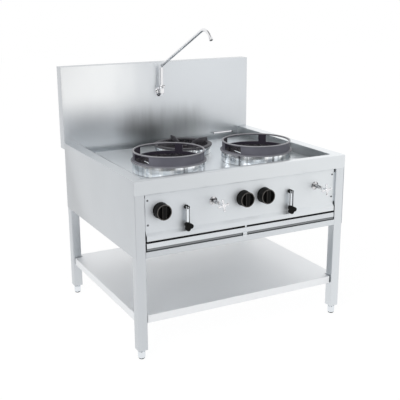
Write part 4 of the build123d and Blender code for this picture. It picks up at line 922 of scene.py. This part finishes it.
# ---- Gas levers ----
# The two wok burners are opened by levers that hang straight down: a black hub on the valve's spindle,
# a channel of bright steel whose sides are painted dark as painted shade, held by a black nut round the
# spindle's chromed end, and a three-lobed plastic grip.
lever_steel = stainless("lever_steel", "bright_steel", 0.82, 0.16, (12, 12, 0.2), relief=0.02)
lobe_radius, lobe_circle, lobe_angles, lobe_edge = 11.8, 11, (125.0, 5.0, 245.0), 3.0
lever_length = 92 * mm   # from the hub to the middle of the grip
hub_height, arm_half, arm_top_gap, arm_foot = 18 * mm, 10 * mm, 3 * mm, 11 * mm
arm_sheet, arm_bend = 2.0, 1.6
post_half, post_head, post_depth = 5 * mm, 13 * mm, 1 * mm
for name in left_right:
    node, grip_node = f"gas_lever_{name}", f"lever_grip_{name}"
    arm_low, arm_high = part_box(node)
    grip_low, grip_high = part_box(grip_node)
    x = (arm_low.x + arm_high.x) / 2
    grip_z = control_z - lever_length
    hub_front = panel_face - hub_height
    arm_foot_z = grip_z + arm_foot
    hub = (arm_high.z - control_z) / mm
    mesh = bmesh.new()
    hub_at = (x, panel_face, control_z)
    turned(mesh, ((0, 1), (hub, 1), (hub, 16.6), (hub - 0.7, 17.6), (hub - 2, 18), (0, 18)), hub_at, True, 40)
    turned(mesh, ((0, 20.1), (7.6, 20.1), (7.6, 22.8), (6.8, 23.6), (0, 23.6)), hub_at, True, 40)
    finished(mesh, f"lever_hub_{name}", node, knob_plastic)
    mesh = bmesh.new()
    channel = outline(mesh, [
        (x - arm_half, arm_low.y, arm_foot_z), (x - arm_half, hub_front, arm_foot_z),
        (x + arm_half, hub_front, arm_foot_z), (x + arm_half, arm_low.y, arm_foot_z),
    ], closed=False)
    pushed(mesh, channel, (0, 0, arm_high.z - arm_top_gap - arm_foot_z))
    bmesh.ops.recalc_face_normals(mesh, faces=mesh.faces)
    bevelled(mesh, folds(mesh), arm_bend)
    thickened(mesh, (0, 1, 0), arm_sheet)
    turned(mesh, ((0, 18), (3.4, 18), (3.4, 24.6), (2.8, 25.6), (1.8, 26), (0, 26)), hub_at, True, 32)
    post_low = Vector((x - post_half, arm_low.y - post_depth, grip_z))
    bar(mesh, post_low, Vector((x + post_half, hub_front, grip_z + post_head)))
    # The channel's sides get the dark steel as painted shade.
    trimmed(mesh, lambda face, at: abs(face.normal.x) > 0.7)
    finished(mesh, f"lever_arm_{name}", node, lever_steel, node, trim=screw_steel)

    mesh = bmesh.new()
    bmesh.ops.create_circle(mesh, cap_ends=True, segments=96, radius=lobe_radius * mm)
    for vert in mesh.verts:
        turn = math.atan2(vert.co.y, vert.co.x)
        reaches = []
        for lobe in lobe_angles:
            off = turn - math.radians(lobe)
            chord = max(0.0, lobe_radius**2 - (lobe_circle * math.sin(off)) ** 2)
            reaches.append(lobe_circle * math.cos(off) + math.sqrt(chord))
        vert.co = Vector((math.cos(turn), math.sin(turn), 0)) * max(reaches) * mm
    raised(mesh, (0, 0, grip_high.y - grip_low.y))
    level = [edge for edge in folds(mesh, 60) if abs(edge.verts[0].co.z - edge.verts[1].co.z) < mm]
    bevelled(mesh, level, lobe_edge, 4)
    placed(mesh, mesh.verts, (x, grip_high.y, grip_z))
    finished(mesh, f"lever_lobes_{name}", node, knob_plastic, grip_node)

# ---- Tap handles ----
# Chromed cross handles on the stems of the two water taps, cast with four slim arms that swell a little
# towards their rounded ends, and held by a screw under a flat cap.
arm_profile = (
    (5, 6), (4.4, 11), (4.2, 16), (4.5, 19.4), (5.4, 22), (6.1, 25), (5.9, 27.8), (4.7, 30), (2.7, 31.2),
    (0, 31.5),
)
arm_set_back = 10 * mm   # the arms' middle, behind the cap
left_at = {"left": -11, "right": -7}  # degrees that each handle stands off upright
for name in left_right:
    node = f"tap_handle_{name}"
    low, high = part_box(node)
    x, z = (low.x + high.x) / 2, (low.z + high.z) / 2
    reach, stem_end = (panel_face - low.y) / mm, (panel_face - high.y) / mm
    arm = bmesh.new()
    turned(arm, arm_profile, steps=20)
    bmesh.ops.translate(arm, verts=arm.verts, vec=(x, low.y + arm_set_back, z))
    four_round(arm, (x, 0, z), (0, 1, 0))
    lean = Matrix.Rotation(math.radians(left_at[name]), 3, "Y")
    bmesh.ops.rotate(arm, verts=arm.verts, cent=(x, 0, z), matrix=lean)
    mesh = bmesh.new()
    joined(mesh, arm)
    turned(mesh, (
        (0, stem_end), (4, stem_end), (4, reach - 22), (7, reach - 22), (9, reach - 21), (10.6, reach - 17),
        (11, reach - 7), (10.8, reach - 4.6), (9.8, reach - 2.6), (8, reach - 1.5), (6.2, reach - 1.4),
        (6, reach - 0.5), (5.5, reach), (0, reach),
    ), (x, panel_face, z), forward=True, steps=40)
    finished(mesh, f"cross_handle_{name}", node, chrome, node)

# ---- Wall tap and swivel spout ----
# A chromed tap body is screwed through the splashback behind a round flange. The long spout swivels
# in it under a hexagon nut, rises forward over the burners and turns down at its nozzle.
tap_z = 1153 * mm
riser_y = 485 * mm
riser = Vector((0, riser_y, 0))


def aimed(point, way):
    """The place of something that stands on a point and looks one way."""
    return Matrix.Translation(point) @ way.to_track_quat("Z", "Y").to_matrix().to_4x4()


def pipe(mesh, points, bends, radius, sides=28):
    """A round pipe: a ring is drawn along each straight run and spun round each bend."""
    points = [Vector(point) for point in points]
    way = (points[1] - points[0]).normalized()
    place = aimed(points[0], way)
    edges = linked(bmesh.ops.create_circle(mesh, segments=sides, radius=radius * mm, matrix=place)["verts"])
    reached = points[0]
    for corner, after, bend in zip(points[1:], points[2:], bends):
        turn_to = (after - corner).normalized()
        turn = way.angle(turn_to)
        set_back = bend * mm * math.tan(turn / 2)
        start = corner - way * set_back
        edges = pushed(mesh, edges, start - reached)
        axis = way.cross(turn_to).normalized()
        centre = start + axis.cross(way) * bend * mm
        last = bmesh.ops.spin(mesh, geom=edges, cent=centre, axis=axis, angle=turn, steps=14)["geom_last"]
        edges = [item for item in last if isinstance(item, bmesh.types.BMEdge)]
        way, reached = turn_to, corner + turn_to * set_back
    return pushed(mesh, edges, points[-1] - reached)


flange_profile = ((0, 0), (28.6, 0), (29, 0.8), (29, 2), (27.6, 3.2), (20, 5.2), (15, 6), (0, 6))
stub_radius, stub_length = 10, (back - riser_y) / mm
stub_profile = ((0, 0), (stub_radius, 0), (stub_radius, stub_length), (0, stub_length))
body_profile = (
    (0, -14), (8, -14), (9, -13), (9, -7.6), (12.6, -7), (14, -5.4), (14, 20), (12.5, 22), (12.5, 27),
    (0, 27),
)
nut_radius = 17 * mm / math.cos(math.pi / 6)
nut_height, nut_rise = 14 * mm, 34 * mm
mesh = bmesh.new()
turned(mesh, flange_profile, (0, back, tap_z), forward=True)
turned(mesh, stub_profile, (0, back, tap_z), forward=True, steps=32)
turned(mesh, body_profile, riser + Vector((0, 0, tap_z)), steps=40)
nut = bmesh.ops.create_cone(
    mesh, cap_ends=True, segments=6, radius1=nut_radius, radius2=nut_radius, depth=nut_height,
    matrix=Matrix.Translation(riser + Vector((0, 0, tap_z + nut_rise))),
)["verts"]
bevelled(mesh, linked(nut), 1.0, 2)
finished(mesh, "tap_body", "range_frame", chrome, "wall_tap_body")

knee, peak, outlet = (0, riser_y, 1306 * mm), (0, -71 * mm, 1556 * mm), (0, -119 * mm, 1488 * mm)
spout_foot = (0, riser_y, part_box("swivel_spout")[0].z)
knee_bend, tip_bend, spout_radius = 16, 82, 9
sleeve_radius, sleeve_length, sleeve_wall = 10.5 * mm, 14 * mm, 1.4 * mm
mesh = bmesh.new()
pipe(mesh, (spout_foot, knee, peak, outlet), (knee_bend, tip_bend), spout_radius)
thickened(mesh, (0, 0, 1))
down = (Vector(outlet) - Vector(peak)).normalized()
nozzle = aimed(Vector(outlet) - down * 7 * mm, down)
sleeve = bmesh.ops.create_cone(
    mesh, segments=28, radius1=sleeve_radius, radius2=sleeve_radius, depth=sleeve_length, matrix=nozzle
)["verts"]
sleeve_faces = list({face for vert in sleeve for face in vert.link_faces})
bmesh.ops.solidify(mesh, geom=sleeve_faces, thickness=sleeve_wall)
finished(mesh, "spout_pipe", "swivel_spout", chrome, "swivel_spout")
rubber_end = aimed(Vector(outlet) - down * 2.5 * mm, down)
mesh = bmesh.new()
bmesh.ops.create_cone(
    mesh, cap_ends=True, segments=28, radius1=9.2 * mm, radius2=8.6 * mm, depth=4 * mm, matrix=rubber_end
)
rings = [face for face in mesh.faces if len(face.verts) > 4]
bmesh.ops.inset_region(mesh, faces=rings, thickness=2 * mm, depth=-0.8 * mm)
bevelled(mesh, folds(mesh, 50), 0.4, 2)
finished(mesh, "spout_washer", "swivel_spout", knob_plastic)

# ---- Rinse pipe ----
# A short bright pipe comes through the splashback at the right end of the gutter and runs along it,
# open at its end, so that water sweeps the gutter towards the drain.
rinse_low, rinse_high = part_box("rinse_pipe")
rinse_radius, rinse_wall, rinse_bend = 6, 1.0, 14
rinse_inside = 5.3 * mm  # faces nearer to its axis than this are its dark bore
rinse_y = rinse_low.y + rinse_radius * mm
rinse_z = (rinse_low.z + rinse_high.z) / 2
rinse_wall_x = rinse_high.x - rinse_radius * mm
rinse_corner = Vector((rinse_wall_x, rinse_y, rinse_z))
rinse_points = (rinse_low.x, rinse_y, rinse_z), rinse_corner, (rinse_wall_x, rinse_high.y, rinse_z)
mesh = bmesh.new()
pipe(mesh, rinse_points, (rinse_bend,), rinse_radius)
thickened(mesh, (0, 0, 1), rinse_wall)
# The bore gets the bowls' dark scaled iron as painted shade inside the open pipe.
trimmed(mesh, lambda face, at: (at - Vector((0, rinse_y, rinse_z))).yz.length < rinse_inside)
finished(mesh, "rinse_tube", "range_frame", chrome, "rinse_pipe", trim=scaled_iron_and_bore_shade)

# ---- Drip tray ----
# A shallow pan of thin sheet that slides out on runners. Its front strip ends in a rolled edge that
# serves as the handle, and a small tab with two holes is riveted in the middle.
tray_sheet = stainless("tray_sheet", "stainless_sheet", 0.71, 0.26, (0.2, 12, 12))
# A dark copy of the tray's sheet, for painted shade.
shaded_sheet = stainless("shaded_sheet", "stainless_sheet", 0.24, 0.30, (0.2, 12, 12))
strip_low, strip_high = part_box("drip_tray_front")
tray_low, tray_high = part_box("drip_tray_floor")[0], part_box("drip_tray_walls")[1]
strip_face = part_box("lower_rail_front")[0].y
tray_wall, roll_radius = 1.2, 7.5 * mm
strip_foot = 567 * mm
strip_return, roll_set_back = 14 * mm, 10.5 * mm
roll_points, roll_turn = 19, 18.5
roll_y, roll_z = strip_face + roll_set_back, strip_foot - roll_radius
roll = []
for step in range(roll_points):
    turn = math.radians(90 + step * roll_turn)
    roll.append((roll_y + roll_radius * math.cos(turn), roll_z + roll_radius * math.sin(turn)))
strip_profile = [
    (strip_face + strip_return, strip_high.z), (strip_face, strip_high.z), (strip_face, strip_foot), *roll,
]
mesh = bmesh.new()
edges = outline(mesh, [(strip_low.x, y, z) for y, z in strip_profile], closed=False)
pushed(mesh, edges, (strip_high.x - strip_low.x, 0, 0))
bmesh.ops.recalc_face_normals(mesh, faces=mesh.faces)
bevelled(mesh, folds(mesh, 40), 1.6)
thickened(mesh, (0, -1, 0), tray_wall)
# The roll and the strip's upward faces are painted dark as painted shade.
trimmed(mesh, lambda face, at: at.z < strip_foot or face.normal.z > 0.7)
finished(mesh, "tray_strip", "drip_tray", tray_sheet, "drip_tray_front", trim=shaded_sheet)

mesh = bmesh.new()
place = Matrix.Translation((tray_low + tray_high) / 2) @ Matrix.Diagonal((*(tray_high - tray_low), 1.0))
bmesh.ops.create_cube(mesh, size=1.0, matrix=place)
lid = [face for face in mesh.faces if face.normal.z > 0.9]
bmesh.ops.delete(mesh, geom=lid, context="FACES_ONLY")
bevelled(mesh, folds(mesh), 3.0)
thickened(mesh, (0, -1, 0), tray_wall)
front_wall = Vector((tray_low.x, tray_low.y, tray_high.z - 1 * mm))
bar(mesh, front_wall, Vector((tray_high.x, tray_low.y + tray_wall * mm, strip_high.z)), edge=0)
# All but the pan's underside is painted dark as painted shade inside the cabinet.
trimmed(mesh, lambda face, at: face.normal.z > -0.5)
finished(mesh, "tray_pan", "drip_tray", shelf_sheet, "drip_tray_floor", "drip_tray_walls", trim=shaded_sheet)

tab_x = (-19 * mm, 4 * mm)
tab_foot, tab_top, tab_thickness = strip_low.z, 570 * mm, 2.0
hole_inset, tab_hole_radius = 6 * mm, 2 * mm
mesh = bmesh.new()
tab = outline(mesh, [
    (tab_x[0], tab_foot, 0), (tab_x[1], tab_foot, 0), (tab_x[1], tab_top, 0), (tab_x[0], tab_top, 0),
])
hole_x = (tab_x[0] + hole_inset, tab_x[1] - hole_inset)
tab_holes = [(x, (tab_foot + tab_top) / 2, tab_hole_radius) for x in hole_x]
filled(mesh, tab, tab_holes, 0)
facing(mesh, (0, 0, 1))
bmesh.ops.solidify(mesh, geom=mesh.faces[:], thickness=tab_thickness * mm)
placed(mesh, mesh.verts, (0, strip_face - tab_thickness * mm, 0))
finished(mesh, "tray_tab", "drip_tray", tray_sheet)
